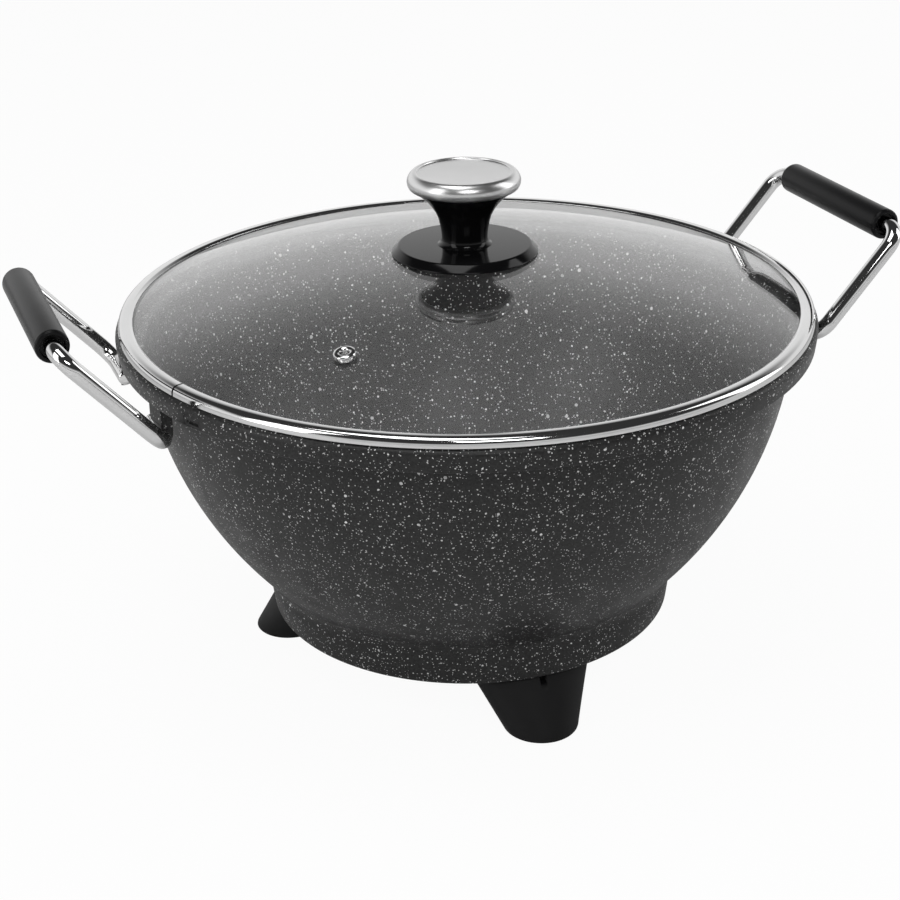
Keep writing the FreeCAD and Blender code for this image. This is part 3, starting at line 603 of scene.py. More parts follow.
class Bench:
    """Edit mode work that the pieces share."""

    @staticmethod
    def clear_selection() -> None:
        """Leave edit mode and select nothing."""
        if bpy.context.object and bpy.context.object.mode != "OBJECT":
            bpy.ops.object.mode_set(mode="OBJECT")
        bpy.ops.object.select_all(action="DESELECT")

    @staticmethod
    def pick(piece: bpy.types.Object) -> None:
        """Select one object alone and make it active."""
        Bench.clear_selection()
        piece.select_set(True)
        bpy.context.view_layer.objects.active = piece

    @staticmethod
    def edit(piece: bpy.types.Object) -> None:
        """Open one object in edit mode with all of it selected."""
        Bench.pick(piece)
        bpy.ops.object.mode_set(mode="EDIT")
        bpy.ops.mesh.select_all(action="SELECT")

    @staticmethod
    def close(piece: bpy.types.Object, sharp: float = 35.0,
              merge: float = MERGE_DISTANCE) -> bpy.types.Object:
        """Merge doubles, turn the faces outwards, leave edit mode and shade smooth.

        Args:
            piece: The object, in edit mode.
            sharp: Angle in degrees over which an edge stays sharp.
            merge: Distance under which points merge.

        Returns:
            The same object, unturned and unscaled at the origin.
        """
        bpy.ops.mesh.select_all(action="SELECT")
        bpy.ops.mesh.remove_doubles(threshold=merge)
        bpy.ops.mesh.normals_make_consistent(inside=False)
        bpy.ops.object.mode_set(mode="OBJECT")
        bpy.ops.object.transform_apply(location=True, rotation=True, scale=True)
        bpy.ops.object.shade_smooth_by_angle(angle=math.radians(sharp))
        return piece

    @staticmethod
    def lathe(name: str, profile: Sequence[Pair], steps: int = 144, centre: Vector = Vector(),
              axis: Vector = Vector((0, 0, 1)), outward: Vector = Vector((1, 0, 0)), turn: float = FULL_TURN,
              sharp: float = 35.0) -> bpy.types.Object:
        """Turn a half section about an axis.

        Args:
            name: The object's name.
            profile: Pairs of radius and place along the axis, in millimetres.
            steps: Number of steps round.
            centre: A point on the axis, in metres.
            axis: Direction of the axis.
            outward: Direction of the radius at the start.
            turn: How far the section is turned, in radians.
            sharp: Angle in degrees over which an edge stays sharp.

        Returns:
            The new object.
        """
        places = [centre + outward * (radius * MM) + axis * (along * MM) for radius, along in profile]
        Bench.clear_selection()
        bpy.ops.mesh.primitive_plane_add(size=MM, location=places[0])
        piece = bpy.context.object
        piece.name = name
        Bench.edit(piece)
        bpy.ops.mesh.merge(type="CENTER")
        for before, after in zip(places, places[1:]):
            bpy.ops.mesh.extrude_vertices_move(TRANSFORM_OT_translate={"value": after - before})
        bpy.ops.mesh.select_all(action="SELECT")
        bpy.ops.mesh.spin(steps=steps, angle=turn, center=centre, axis=axis)
        return Bench.close(piece, sharp)

    @staticmethod
    def boolean(piece: bpy.types.Object, tool: bpy.types.Object, operation: str = "DIFFERENCE") -> None:
        """Cut or join a piece with another, which is then removed.

        Args:
            piece: The object that stays.
            tool: The object that cuts or joins.
            operation: The modifier's operation.
        """
        Bench.pick(piece)
        modifier = piece.modifiers.new("cut", "BOOLEAN")
        modifier.operation = operation
        modifier.object = tool
        modifier.solver = "EXACT"
        bpy.ops.object.modifier_apply(modifier=modifier.name)
        bpy.data.objects.remove(tool)

    @staticmethod
    def block(name: str, low: Sequence[float], high: Sequence[float],
              round_by: float = 0.0) -> bpy.types.Object:
        """A rounded block between two corners, in millimetres.

        Args:
            name: The object's name.
            low: Lowest corner.
            high: Highest corner.
            round_by: Size of the rounded edges.

        Returns:
            The new object.
        """
        Bench.clear_selection()
        middle = [(a + b) / 2 * MM for a, b in zip(low, high)]
        size = [(b - a) * MM for a, b in zip(low, high)]
        bpy.ops.mesh.primitive_cube_add(size=1.0, location=middle, scale=size)
        piece = bpy.context.object
        piece.name = name
        bpy.ops.object.transform_apply(location=True, rotation=True, scale=True)
        Bench.edit(piece)
        if round_by:
            bpy.ops.mesh.bevel(offset=round_by * MM, segments=3, profile=0.5)
        return Bench.close(piece)

    @staticmethod
    def peg(name: str, radius: float, start: Vector, end: Vector, sides: int = 48,
            round_by: float = 0.0) -> bpy.types.Object:
        """A round peg between two points, in millimetres.

        Args:
            name: The object's name.
            radius: The peg's radius.
            start: One end.
            end: Other end.
            sides: Number of sides.
            round_by: Size of the rounded end edges.

        Returns:
            The new object.
        """
        Bench.clear_selection()
        run = (end - start) * MM
        turn = Vector((0, 0, 1)).rotation_difference(run).to_euler()
        bpy.ops.mesh.primitive_cylinder_add(vertices=sides, radius=radius * MM, depth=run.length,
                                            location=(start + end) / 2 * MM, rotation=turn)
        piece = bpy.context.object
        piece.name = name
        bpy.ops.object.transform_apply(location=True, rotation=True, scale=True)
        Bench.edit(piece)
        if round_by:
            bpy.ops.mesh.select_all(action="DESELECT")
            bpy.ops.object.mode_set(mode="OBJECT")
            for face in piece.data.polygons:
                face.select = len(face.vertices) > 4
            bpy.ops.object.mode_set(mode="EDIT")
            bpy.ops.mesh.bevel(offset=round_by * MM, segments=3, profile=0.5)
        return Bench.close(piece)

    @staticmethod
    def duplicate(piece: bpy.types.Object, name: str, move: Matrix) -> bpy.types.Object:
        """A copy with a mesh of its own, moved or mirrored.

        Args:
            piece: The object to copy.
            name: The copy's name.
            move: Where the copy goes.

        Returns:
            The new object.
        """
        Bench.pick(piece)
        bpy.ops.object.duplicate(linked=False)
        copy = bpy.context.object
        copy.name = name
        copy.data.transform(move)
        if move.determinant() < 0:
            copy.data.flip_normals()
        return copy


def dress(piece: bpy.types.Object, material: bpy.types.Material, body: str,
          nodes: Iterable[str] = ()) -> bpy.types.Object:
    """Give a new piece its finish, its body and the nodes that it stands for.

    Args:
        piece: The piece.
        material: Its finish.
        body: The body that it rides on.
        nodes: The nodes that it stands for.

    Returns:
        The piece.
    """
    if not piece.data.materials:
        piece.data.materials.append(material)
    else:
        piece.data.materials[0] = material
    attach(piece, body)
    if nodes:
        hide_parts(*nodes)
    LOG.info("%s: %d faces on %s", piece.name, len(piece.data.polygons), body)
    return piece


@dataclass
class Bowl:
    """The cast bowl with its rim, ledge, ears and base ring. Sizes in millimetres."""

    arc_centre: Pair = (-30.2, 187.2)
    outer_arc: float = 191.3
    inner_arc: float = 187.7
    floor_top: float = 48.0
    floor_under: float = 43.0
    floor_reach: float = 15.4
    rim_radius: float = 172.0
    rim_top: float = 184.3
    rim_bottom: float = 174.0
    rim_draft: float = 1.2
    recess_radius: float = 166.8
    ledge_top: float = 176.5
    ring_radius: float = 104.0
    ring_foot: float = 102.6
    ring_shoulder: float = 103.3
    ring_bottom: float = 29.9
    ring_inner: float = 96.1
    pivot: Pair = (165.7, 163.1)
    ear_low: float = 33.5
    ear_high: float = 44.5
    eye_radius: float = 5.98
    hole_radius: float = 4.08
    window_half: float = 26.3
    window_start: float = 96.7
    window_top: float = 47.8
    tally: tuple[float, float, float] = (8.0, 1.8, 0.8)
    tally_angle: float = 204.2
    tally_height: float = 177.1
    steps: int = 180

    def _angle(self, height: float, arc: float) -> float:
        """Angle on the wall's arc at a height, in degrees."""
        return math.degrees(math.asin((height - self.arc_centre[1]) / arc))

    def _profile(self) -> list[Pair]:
        """The half section of the casting."""
        inner_low = self._angle(self.floor_top, self.inner_arc)
        inner_high = self._angle(self.ledge_top, self.inner_arc)
        outer_high = self._angle(self.rim_bottom, self.outer_arc)
        reach = (self.ring_shoulder - self.arc_centre[0]) / self.outer_arc
        outer_low = -math.degrees(math.acos(reach))
        ring_top = self.arc_centre[1] + self.outer_arc * math.sin(math.radians(outer_low))
        first_radius = self.arc_centre[0] + self.inner_arc * math.cos(math.radians(inner_low))
        profile = Profile().to(0.0, self.floor_top).to(first_radius, self.floor_top, self.floor_reach)
        profile.sweep(self.arc_centre, self.inner_arc, inner_low, inner_high, 48, 5.0)
        profile.to(self.recess_radius, self.ledge_top, 1.5)
        profile.to(self.recess_radius, self.rim_top, 0.5)
        profile.to(self.rim_radius, self.rim_top, 3.6)
        profile.to(self.rim_radius - self.rim_draft, self.rim_bottom, 0.8)
        wall = self.arc_centre[0] + self.outer_arc * math.cos(math.radians(outer_high))
        profile.to(wall, self.rim_bottom, 2.4)
        profile.sweep(self.arc_centre, self.outer_arc, outer_high, outer_low, 48, 6.5)
        profile.to(self.ring_radius, ring_top - 6.0)
        profile.to(self.ring_radius, ring_top - 9.0)
        profile.to(self.ring_foot, self.ring_bottom, 1.4)
        profile.to(self.ring_inner, self.ring_bottom, 0.5)
        profile.to(self.ring_inner, self.floor_under, 2.0)
        profile.to(0.0, self.floor_under)
        return profile.rounded()

    def build(self, effects: Effects) -> None:
        """Make the casting and dress it.

        Args:
            effects: The shared node groups.
        """
        outside = StoneCoating().build(effects)
        # Inside copy of the coating: its flecks are painted brighter (240 against 225) as painted light for the lit
        # cavity; its larger flecks, roughness and gloss are the coating's own.
        inside = StoneCoating(name="stone_coating_inside_painted_light", fleck=240.0, fleck_scale=1.3, roughness=0.38,
                              gloss=0.5).build(effects)
        casting = Bench.lathe("bowl_casting", self._profile(), self.steps)
        self._cut_window(casting)
        self._cut_tally(casting)
        dress(casting, outside, "wok", ["wok_body", "base_ring"])
        casting.data.materials.append(inside)
        self._paint_inside(casting)
        for ear in self._ears():
            dress(ear, outside, "wok")
        LOG.info("bowl done")

    def _paint_inside(self, casting: bpy.types.Object) -> None:
        """Give the faces of the cavity the inside finish, whose flecks are painted brighter as painted light."""
        for face in casting.data.polygons:
            spot = face.center / MM
            radius = math.hypot(spot.x, spot.y)
            if spot.z > self.floor_top - 1 and radius < self.recess_radius + 0.5 and face.normal.z > -0.5:
                towards = -(face.normal.x * spot.x + face.normal.y * spot.y)
                if towards > -0.2 * radius:
                    face.material_index = 1

    def _cut_window(self, casting: bpy.types.Object) -> None:
        """Open the base ring at the back for the socket."""
        low = (-self.window_half, self.window_start - 13.0, self.ring_bottom - 2)
        high = (self.window_half, self.ring_radius + 6, self.floor_under)
        Bench.boolean(casting, Bench.block("window", low, high))
        low = (-self.window_half, self.window_start, self.ring_bottom - 2)
        high = (self.window_half, self.ring_radius + 6, self.window_top)
        Bench.boolean(casting, Bench.block("throat", low, high))

    def _cut_tally(self, casting: bpy.types.Object) -> None:
        """Sink the small dash beside the ear on each side."""
        length, tall, deep = self.tally
        for turn in (self.tally_angle, self.tally_angle - 180.0):
            cutter = Bench.block("dash", (self.rim_radius - self.rim_draft - deep, -length / 2,
                                          self.tally_height - tall / 2),
                                 (self.rim_radius + 2, length / 2, self.tally_height + tall / 2))
            cutter.data.transform(Matrix.Rotation(math.radians(turn), 4, "Z"))
            Bench.boolean(casting, cutter)

    def _ears(self) -> list[bpy.types.Object]:
        """The four ears with their eyes."""
        x, z = self.pivot
        web = Bench.block("ear_right_far", (x - self.eye_radius, self.ear_low, z),
                          (x + self.eye_radius, self.ear_high, self.rim_bottom + 1.5))
        eye = Bench.peg("eye", self.eye_radius, Vector((x, self.ear_low, z)), Vector((x, self.ear_high, z)),
                        64)
        Bench.boolean(web, eye, "UNION")
        trim = Bench.peg("trim", self.rim_radius - self.rim_draft, Vector((0, 0, z - 30)),
                         Vector((0, 0, z + 30)), 360)
        Bench.boolean(web, trim, "INTERSECT")
        hole = Bench.peg("hole", self.hole_radius, Vector((x, self.ear_low - 2, z)),
                         Vector((x, self.ear_high + 2, z)), 64)
        Bench.boolean(web, hole)
        Bench.edit(web)
        Bench.close(web, 30.0)
        ears = [web]
        names = ("ear_right_near", "ear_left_far", "ear_left_near")
        flips = (Vector((1, -1, 1)), Vector((-1, 1, 1)), Vector((-1, -1, 1)))
        for name, flip in zip(names, flips):
            ears.append(Bench.duplicate(web, name, Matrix.Diagonal((*flip, 1))))
        return ears


@dataclass
class Lid:
    """The lift-off lid: glass dome, steel band and steam vent. Sizes in millimetres."""

    crown: float = 214.5
    dome: float = 522.0
    thickness: float = 3.6
    edge: float = 165.0
    knob_hole: float = 4.5
    rim_top: float = 184.3
    band_radius: float = 170.0
    band_top: float = 189.45
    band_lip: float = 162.7
    lip_thickness: float = 0.8
    skirt_outer: float = 166.4
    skirt_bottom: float = 178.3
    seam_angle: float = 198.6
    seam_width: float = 1.2
    vent_radial: float = 116.3
    vent_angle: float = -138.6
    steps: int = 192

    def height(self, radial: float, sphere: float) -> float:
        """Height of a sphere about the dome's centre, at a distance from the axis."""
        return self.crown - self.dome + math.sqrt(sphere ** 2 - radial ** 2)

    def build(self, effects: Effects) -> None:
        """Make the lid's pieces and dress them.

        Args:
            effects: The shared node groups.
        """
        glass = ClearGlass().build(effects)
        steel = Metal("polished_steel", colour=212.0, roughness=0.09).build(effects)
        dress(self._glass(), glass, "lid", ["lid_glass"])
        dress(self._band(), steel, "lid", ["lid_band"])
        dress(self._vent(), steel, "lid", ["vent_grommet"])
        LOG.info("lid done")

    def _glass(self) -> bpy.types.Object:
        """The glass dome, with a hole for the knob's screw."""
        inner = self.dome - self.thickness
        centre = (0.0, self.crown - self.dome)

        def lean(radial: float, sphere: float) -> float:
            return 90.0 - math.degrees(math.asin(radial / sphere))
        profile = Profile()
        profile.sweep(centre, self.dome, lean(self.knob_hole, self.dome), lean(self.edge, self.dome), 40, 0.8)
        profile.sweep(centre, inner, lean(self.edge, inner), lean(self.knob_hole, inner), 40)
        profile.to(*profile.points[0])
        return Bench.lathe("glass_dome", profile.rounded(4), self.steps, sharp=50.0)

    def _band(self) -> bpy.types.Object:
        """The steel band, open by a hair at its seam."""
        groove = self.edge + 0.15
        groove_low = self.height(self.edge, self.dome - self.thickness) - 0.15
        profile = Profile().to(self.band_radius - 0.5, self.rim_top + 0.1, 0.4)
        profile.to(self.band_radius, self.rim_top + 0.6, 0.3)
        profile.to(self.band_radius, self.band_top, 3.9)
        profile.to(self.band_lip + 1.6, self.band_top, 0.6)
        profile.to(self.band_lip, self.band_top - 0.9, 0.3)
        profile.to(self.band_lip + 0.3, self.band_top - 1.2, 0.1)
        profile.to(groove, self.band_top - self.lip_thickness - 0.6)
        profile.to(groove, groove_low)
        profile.to(self.band_lip, groove_low, 0.2)
        profile.to(self.band_lip, groove_low - self.lip_thickness, 0.2)
        profile.to(self.skirt_outer - self.lip_thickness, groove_low - self.lip_thickness, 0.6)
        profile.to(self.skirt_outer - self.lip_thickness, self.skirt_bottom, 0.2)
        profile.to(self.skirt_outer, self.skirt_bottom, 0.2)
        profile.to(self.skirt_outer, self.rim_top + 0.1, 0.3)
        points = profile.rounded(7)
        points.append(points[0])
        start = math.radians(self.seam_angle)
        outward = Vector((math.cos(start), math.sin(start), 0))
        gap = self.seam_width / self.band_radius
        band = Bench.lathe("steel_band", points, 2 * self.steps, outward=outward, turn=FULL_TURN - gap)
        Bench.edit(band)
        bpy.ops.mesh.select_all(action="DESELECT")
        bpy.ops.mesh.select_non_manifold(extend=False)
        bpy.ops.mesh.edge_face_add()
        return Bench.close(band)

    def _vent(self) -> bpy.types.Object:
        """The steel eyelet in the glass."""
        angle = math.radians(self.vent_angle)
        outward = Vector((math.cos(angle), math.sin(angle), 0))
        lean = math.asin(self.vent_radial / self.dome)
        axis = (outward * math.sin(lean) + Vector((0, 0, 1)) * math.cos(lean)).normalized()
        centre = outward * (self.vent_radial * MM) + Vector((0, 0,
                                                             self.height(self.vent_radial, self.dome) * MM))
        across = axis.orthogonal().normalized()
        below = -self.thickness
        profile = Profile().to(2.0, below - 0.8, 0.2).to(4.7, below - 0.9, 0.4).to(4.7, below - 0.05, 0.1)
        profile.to(3.5, below - 0.05).to(3.5, 0.1).to(5.3, 0.1, 0.2)
        profile.to(5.1, 1.1, 0.6).to(3.6, 1.6, 0.6).to(2.3, 1.1, 0.6).to(2.0, 0.0)
        points = profile.rounded(5)
        points.append(points[0])
        return Bench.lathe("steam_vent", points, 72, centre, axis, across)


@dataclass
class Knob:
    """The lid's knob: bevelled disc, waisted body and steel cap. Sizes in millimetres."""

    skirt_radius: float = 35.8
    skirt_flat: float = 32.4
    skirt_bottom: float = 213.5
    skirt_top: float = 217.4
    steps: int = 160

    def build(self, effects: Effects) -> None:
        """Make the knob's pieces and dress them.

        Args:
            effects: The shared node groups.
        """
        black = Moulded("gloss_black", colour=(9.0, 9.0, 10.0), lift=3.0, roughness=0.1, smear=0.03,
                        bump=0.02,
                        coat=0.0, gloss=0.2).build(effects)
        steel = Metal("satin_steel", colour=214.0, roughness=0.3, smear=0.05, brushed=0.1).build(effects)
        dress(self._skirt(), black, "lid", ["knob_skirt"])
        dress(self._body(), black, "lid", ["knob_stem"])
        dress(self._cap(), steel, "lid", ["knob_cap"])
        LOG.info("knob done")

    def _skirt(self) -> bpy.types.Object:
        """The bevelled disc on the glass, hollowed underneath."""
        profile = Profile().to(11.3, self.skirt_bottom + 1.9).to(11.3, self.skirt_bottom + 1.1)
        profile.to(self.skirt_radius - 1.4, self.skirt_bottom, 0.2)
        profile.to(self.skirt_radius, self.skirt_bottom, 0.35)
        profile.to(self.skirt_radius, self.skirt_bottom + 0.5, 0.35)
        profile.to(self.skirt_flat, self.skirt_top - 0.05, 0.8)
        profile.to(4.4, self.skirt_top).to(4.4, self.skirt_bottom + 1.9)
        points = profile.rounded(5)
        points.append(points[0])
        return Bench.lathe("knob_disc", points, self.steps)

    def _body(self) -> bpy.types.Object:
        """The waisted black body that carries the cap."""
        profile = Profile().to(0.0, self.skirt_top + 0.02)
        profile.to(13.3, self.skirt_top + 0.02)
        for radius, height in ((12.3, 218.0), (11.5, 218.9), (11.15, 220.4), (11.2, 222.0), (11.4, 224.2),
                               (11.8, 226.5),
                               (12.4, 229.2), (13.1, 231.6), (14.0, 233.6), (15.1, 235.4), (16.6, 237.6),
                               (18.4, 239.8),
                               (21.0, 242.3)):
            profile.to(radius, height)
        profile.to(24.4, 245.0, 0.5).to(24.2, 245.5).to(21.5, 245.5).to(21.5, 251.6, 0.3).to(0.0, 251.6)
        return Bench.lathe("knob_body", profile.rounded(5), self.steps, sharp=45.0)

    def _cap(self) -> bpy.types.Object:
        """The steel cap with a rounded edge and a sunk flat top."""
        profile = Profile().to(0.0, 251.75).to(21.6, 251.75, 0.2).to(21.6, 245.2).to(24.6, 245.2, 0.2)
        profile.to(26.5, 245.9, 0.8).to(27.7, 248.3, 1.6).to(27.2, 251.4, 2.2).to(24.6, 253.9, 1.5)
        profile.to(23.1, 253.8, 0.4).to(22.7, 252.95, 0.35).to(0.0, 252.9)
        points = profile.rounded(8)
        points.append(points[0])
        return Bench.lathe("knob_cap_steel", points, self.steps)


@dataclass
class SideHandle:
    """A wire handle with its grip. Sizes in millimetres."""

    side: Side = Side.RIGHT
    pivot: Pair = (165.7, 163.1)
    rise: float = 48.6
    leg: float = 65.8
    leg_offset: float = 58.5
    bend: float = 10.0
    tip: float = 27.0
    wire: float = 4.0
    grip_length: float = 91.4
    grip_radius: float = 7.75
    recess_radius: float = 5.7
    recess_depth: float = 2.2

    @property
    def word(self) -> str:
        """The side's name in lower case."""
        return self.side.name.lower()

    def spot(self, along: float, across: float) -> Vector:
        """A point of the handle's plane, in metres.

        Args:
            along: Distance up the legs from the hinge line.
            across: Distance along the hinge line from the middle.

        Returns:
            The point.
        """
        angle = math.radians(self.rise)
        x = self.side.value * (self.pivot[0] + along * math.cos(angle))
        return Vector((x, across, self.pivot[1] + along * math.sin(angle))) * MM

    def build(self, wire_finish: bpy.types.Material, grip_finish: bpy.types.Material) -> None:
        """Make the wire and the grip and dress them.

        Args:
            wire_finish: The wire's material.
            grip_finish: The grip's material.
        """
        dress(self._wire(), wire_finish, f"handle_{self.word}", [f"handle_wire_{self.word}"])
        dress(self._grip(), grip_finish, f"sleeve_{self.word}", [f"grip_{self.word}"])
        LOG.info("%s handle done", self.word)

    def _wire(self) -> bpy.types.Object:
        """The bent wire, drawn from one tip to the other."""
        across = Vector((0, 1, 0))
        up = (self.spot(1, 0) - self.spot(0, 0)).normalized()
        normal = up.cross(across)
        start = self.spot(0, self.tip)
        Bench.clear_selection()
        turn = Vector((0, 0, 1)).rotation_difference(across).to_euler()
        bpy.ops.mesh.primitive_circle_add(vertices=32, radius=self.wire * MM, location=start, rotation=turn,
                                          fill_type="NGON")
        piece = bpy.context.object
        piece.name = f"wire_{self.word}"
        bpy.ops.object.transform_apply(location=True, rotation=True, scale=True)
        Bench.edit(piece)
        bpy.ops.mesh.delete(type="ONLY_FACE")
        bpy.ops.mesh.select_all(action="SELECT")
        runs = ((across, self.leg_offset - self.tip - self.bend), (up, self.leg - 2 * self.bend),
                (-across, 2 * (self.leg_offset - self.bend)), (-up, self.leg - 2 * self.bend),
                (across, self.leg_offset - self.tip - self.bend))
        here = start.copy()
        for index, (direction, length) in enumerate(runs):
            bpy.ops.mesh.extrude_region_move(TRANSFORM_OT_translate={"value": direction * (length * MM)})
            here += direction * (length * MM)
            if index + 1 < len(runs):
                following = runs[index + 1][0]
                centre = here + following * (self.bend * MM)
                bpy.ops.mesh.spin(steps=14, angle=math.pi / 2, center=centre, axis=following.cross(direction))
                here += (direction + following) * (self.bend * MM)
        self._round_tips(piece, normal)
        return Bench.close(piece, 40.0)

    def _round_tips(self, piece: bpy.types.Object, normal: Vector) -> None:
        """Close both wire ends with a rounded edge.

        Args:
            piece: The wire, in edit mode.
            normal: Direction square to the handle's plane. Not used.
        """
        bpy.ops.mesh.select_all(action="DESELECT")
        bpy.ops.mesh.select_non_manifold(extend=False)
        bpy.ops.mesh.edge_face_add()
        bpy.ops.mesh.select_all(action="DESELECT")
        bpy.ops.object.mode_set(mode="OBJECT")
        for face in piece.data.polygons:
            face.select = len(face.vertices) > 4
        bpy.ops.object.mode_set(mode="EDIT")
        bpy.ops.mesh.bevel(offset=2.2 * MM, segments=5, profile=0.5)

    def _grip(self) -> bpy.types.Object:
        """The sleeve grip with rounded edges and recessed ends."""
        half = self.grip_length / 2
        bore = self.wire + 0.08
        profile = Profile().to(bore, -half + self.recess_depth)
        profile.to(bore, half - self.recess_depth).to(self.recess_radius, half - self.recess_depth, 0.2)
        profile.to(self.recess_radius, half, 0.35).to(self.grip_radius, half, 1.8)
        profile.to(self.grip_radius, -half, 1.8).to(self.recess_radius, -half, 0.35)
        profile.to(self.recess_radius, -half + self.recess_depth, 0.2)
        points = profile.rounded(6)
        points.append(points[0])
        return Bench.lathe(f"sleeve_{self.word}_moulding", points, 72, self.spot(self.leg, 0),
                           Vector((0, 1, 0)),
                           Vector((0, 0, 1)), sharp=40.0)


@dataclass
class Foot:
    """A splayed foot. Sizes in millimetres."""

    word: str = "front"
    angle: float = -91.0
    sole_radial: float = 98.0
    sole_half: Pair = (18.2, 18.2)
    head_radial: float = 81.8
    head_half: Pair = (18.0, 31.6)
    sole_height: float = 0.6
    top: float = 29.6
    notch: tuple[float, float, float] = (3.5, 4.6, 3.0)

    def build(self, finish: bpy.types.Material) -> None:
        """Make the foot and dress it.

        Args:
            finish: The foot's material.
        """
        Bench.clear_selection()
        bpy.ops.mesh.primitive_circle_add(vertices=96, radius=1.0, location=(0, 0, 0), fill_type="NGON")
        piece = bpy.context.object
        piece.name = f"foot_{self.word}_moulding"
        Bench.edit(piece)
        bpy.ops.transform.resize(value=(self.sole_half[0] * MM, self.sole_half[1] * MM, 1))
        bpy.ops.transform.translate(value=(self.sole_radial * MM, 0, self.sole_height * MM))
        layers = 8
        for layer in range(layers):
            lift = (self.top - self.sole_height) / layers
            inward = (self.head_radial - self.sole_radial) / layers
            bpy.ops.mesh.extrude_region_move(TRANSFORM_OT_translate={"value": (inward * MM, 0, lift * MM)})
            before, after = layer / layers, (layer + 1) / layers
            factors = [(a + (b - a) * after) / (a + (b - a) * before) for a,
                       b in zip(self.sole_half, self.head_half)]
            centre = Vector((self.sole_radial + inward * (layer + 1), 0,
                             self.sole_height + lift * (layer + 1))) * MM
            bpy.ops.transform.resize(value=(factors[0], factors[1], 1), center_override=centre)
        bpy.ops.mesh.select_all(action="DESELECT")
        bpy.ops.object.mode_set(mode="OBJECT")
        for face in piece.data.polygons:
            face.select = len(face.vertices) > 4 and face.center.z < 2 * self.sole_height * MM
        bpy.ops.object.mode_set(mode="EDIT")
        bpy.ops.mesh.bevel(offset=0.9 * MM, segments=3, profile=0.5)
        Bench.close(piece, 30.0)
        wide, tall, deep = self.notch
        edge = self.head_radial + self.head_half[0]
        cutter = Bench.block("notch", (edge - deep, -wide / 2, self.top - tall),
                             (edge + 6, wide / 2, self.top + 2))
        Bench.boolean(piece, cutter)
        piece.data.transform(Matrix.Rotation(math.radians(self.angle), 4, "Z"))
        dress(piece, finish, "wok", [f"foot_{self.word}"])


@dataclass
class Underside:
    """Sub-parts of the model whose own shape is right: each keeps it and gets its finish."""

    plated: Sequence[str] = ("element_clamp", "clamp_screws", "shroud_screws", "base_cover", "foot_screws",
                             "knob_washer", "knob_screw", "terminal_pin_left", "terminal_pin_right")
    sheathed: Sequence[str] = ("heating_element", "sensor_tube")
    ceramic: Sequence[str] = ("terminal_collar_left", "terminal_collar_right")
    cast: Sequence[str] = ("clamp_posts", "sensor_saddle")
    moulded: Sequence[str] = ("socket_shroud",)
    soft: Sequence[str] = ("foot_pad_front", "foot_pad_back_left", "foot_pad_back_right", "knob_gasket",
                           "knob_seal")

    def build(self, effects: Effects, black: bpy.types.Material) -> None:
        """Dress the sub-parts.

        Args:
            effects: The shared node groups.
            black: The matte black plastic.
        """
        plated = Metal("plated_steel", colour=178.0, roughness=0.32, smear=0.1, bump=0.08).build(effects)
        sheath = Metal("element_sheath", colour=120.0, roughness=0.45, smear=0.12, bump=0.15).build(effects)
        glaze = Moulded("ceramic", colour=(222.0, 216.0, 204.0), roughness=0.28, bump=0.1).build(effects)
        soft = Moulded("soft_rubber", colour=(24.0, 24.0, 25.0), roughness=0.72, bump=0.3).build(effects)
        coated = StoneCoating(name="stone_coating_under").build(effects)
        for nodes, material in ((self.plated, plated), (self.sheathed, sheath), (self.ceramic, glaze),
                                (self.cast, coated), (self.moulded, black), (self.soft, soft)):
            for name in nodes:
                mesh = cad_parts[name].data
                mesh.materials.clear()
                mesh.materials.append(material)
        LOG.info("underside done")


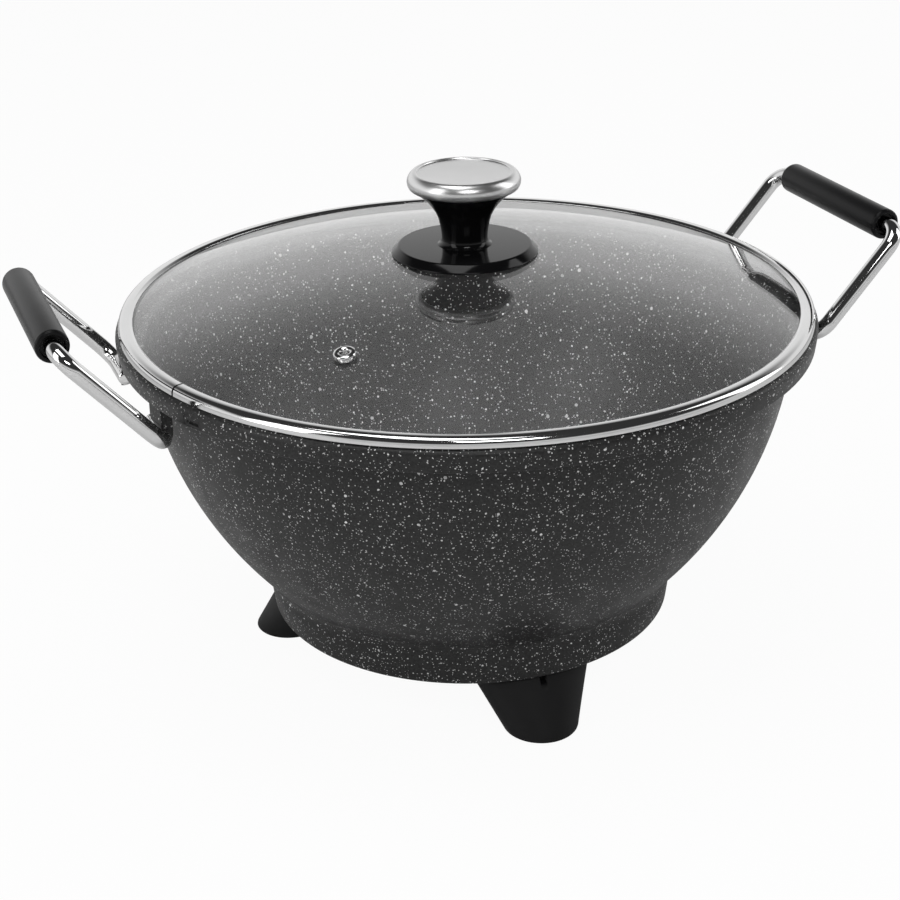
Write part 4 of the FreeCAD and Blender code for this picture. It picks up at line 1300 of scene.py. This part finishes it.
@dataclass
class Studio:
    """White stage, soft lamps and the camera."""

    eye: Vector = field(default_factory=lambda: Vector((-0.315548, -0.819173, 0.509945)))
    right: Vector = field(default_factory=lambda: Vector((0.933782, -0.357377, -0.018217)))
    up: Vector = field(default_factory=lambda: Vector((0.164714, 0.384068, 0.908494)))
    forward: Vector = field(default_factory=lambda: Vector((0.317679, 0.851336, -0.417500)))
    lens: float = 75.5626
    floor_size: float = 8.0

    def build(self) -> None:
        """Make the camera, the stage, the world and the lamps."""
        scene = bpy.context.scene
        scene.view_settings.view_transform = "Standard"
        self._camera(scene)
        self._floor()
        self._world(scene)
        self._lamps()
        LOG.info("studio done")

    def _camera(self, scene: bpy.types.Scene) -> None:
        """The camera, placed by the fit to the photograph."""
        data = bpy.data.cameras.new("camera")
        data.lens = self.lens
        data.sensor_width = 36.0
        data.clip_start = 0.01
        camera = bpy.data.objects.new("camera", data)
        scene.collection.objects.link(camera)
        turn = Matrix((self.right, self.up, -self.forward)).transposed()
        camera.matrix_world = Matrix.Translation(self.eye) @ turn.to_4x4()
        scene.camera = camera

    def _floor(self) -> None:
        """A plain floor, white to the camera but for a faint contact shadow."""
        Bench.clear_selection()
        bpy.ops.mesh.primitive_circle_add(vertices=96, radius=self.floor_size / 2, fill_type="NGON")
        floor = bpy.context.object
        floor.name = "floor"
        material, wiring, shader, output = new_material("floor_paper")
        place = wiring.local()
        fibre = wiring.noise(place, 300.0, 2.0)
        wiring.feed(shader.inputs["Base Color"], wiring.blend(fibre.outputs["Fac"], grey(226), grey(230)))
        shader.inputs["Roughness"].default_value = 0.9
        path = wiring.add("ShaderNodeLightPath")
        seen = wiring.math("ADD", path.outputs[Ray.CAMERA.value], path.outputs[Ray.TRANSMISSION.value],
                           clamp=True)
        glow = wiring.add("ShaderNodeEmission", Color=grey(255))
        mixed = wiring.tree.nodes.new("ShaderNodeMixShader")
        wiring.feed(mixed.inputs[0], wiring.math("MULTIPLY", seen, 0.95))
        wiring.feed(mixed.inputs[1], shader.outputs[0])
        wiring.feed(mixed.inputs[2], glow.outputs[0])
        wiring.feed(output.inputs["Surface"], mixed.outputs[0])
        floor.data.materials.append(material)

    def _world(self, scene: bpy.types.Scene) -> None:
        """White surroundings, seen whole by the camera, and by gloss as a tall back wall in a darker room."""
        world = bpy.data.worlds.new("surroundings")
        scene.world = world
        world.use_nodes = True
        world.node_tree.nodes.clear()
        wiring = Wiring(world.node_tree)
        sky = wiring.add("ShaderNodeTexCoord")
        parts = wiring.add("ShaderNodeSeparateXYZ", Vector=sky.outputs["Generated"])
        back = wiring.span(parts.outputs[1], -0.25, 0.35, 0.0, 0.4)
        lowered = wiring.math("SUBTRACT", parts.outputs[2], back)
        wall = wiring.span(lowered, -0.02, 0.22, 1.0, 0.04)
        path = wiring.add("ShaderNodeLightPath")
        seen = wiring.math("ADD", path.outputs[Ray.CAMERA.value], path.outputs[Ray.TRANSMISSION.value],
                           clamp=True)
        around = wiring.blend(path.outputs[Ray.GLOSSY.value], grey(168), wall)
        colour = wiring.blend(seen, around, grey(255))
        background = wiring.add("ShaderNodeBackground", Color=colour)
        wiring.add("ShaderNodeOutputWorld", Surface=background.outputs[0])

    def _lamps(self) -> None:
        """Two tall soft boxes at the sides, one overhead and one high in front."""
        plan = (("softbox_left", (-1.6, -0.3, 0.9), 0.7, 1.5, 9.0),
                ("softbox_right", (1.6, -0.3, 1.0), 0.7, 1.4, 7.0),
                ("softbox_top", (-0.3, -0.1, 1.8), 1.0, 0.8, 9.0),
                ("softbox_front", (-0.25, -1.35, 1.3), 0.7, 0.35, 6.0))
        target = Vector((0, 0, 0.12))
        for name, place, wide, tall, power in plan:
            data = bpy.data.lights.new(name, "AREA")
            data.shape = "RECTANGLE"
            data.size = wide
            data.size_y = tall
            data.energy = power
            lamp = bpy.data.objects.new(name, data)
            bpy.context.scene.collection.objects.link(lamp)
            spot = Vector(place)
            lamp.matrix_world = Matrix.Translation(spot) @ (target - spot).to_track_quat("-Z",
                                                                                         "Y").to_matrix().to_4x4()


def main() -> None:
    """Build every sub-assembly in order."""
    logging.basicConfig(level=logging.INFO, format="%(message)s")
    effects = Effects()
    Studio().build()
    Bowl().build(effects)
    Lid().build(effects)
    Knob().build(effects)
    wire = Metal("chrome_wire", colour=214.0, roughness=0.06, smear=0.04).build(effects)
    sleeve = Moulded("grip_black", colour=(13.0, 13.0, 14.0), roughness=0.3, smear=0.06, bump=0.06,
                     gloss=0.15).build(effects)
    for side in Side:
        SideHandle(side).build(wire, sleeve)
    black = Moulded("matte_black", colour=(14.0, 14.0, 15.0), lift=4.0, roughness=0.55,
                    bump=0.25).build(effects)
    for word, angle in (("front", -91.0), ("back_right", 30.0), ("back_left", 152.0)):
        Foot(word, angle).build(black)
    Underside().build(effects, black)


if __name__ == "__main__":
    main()
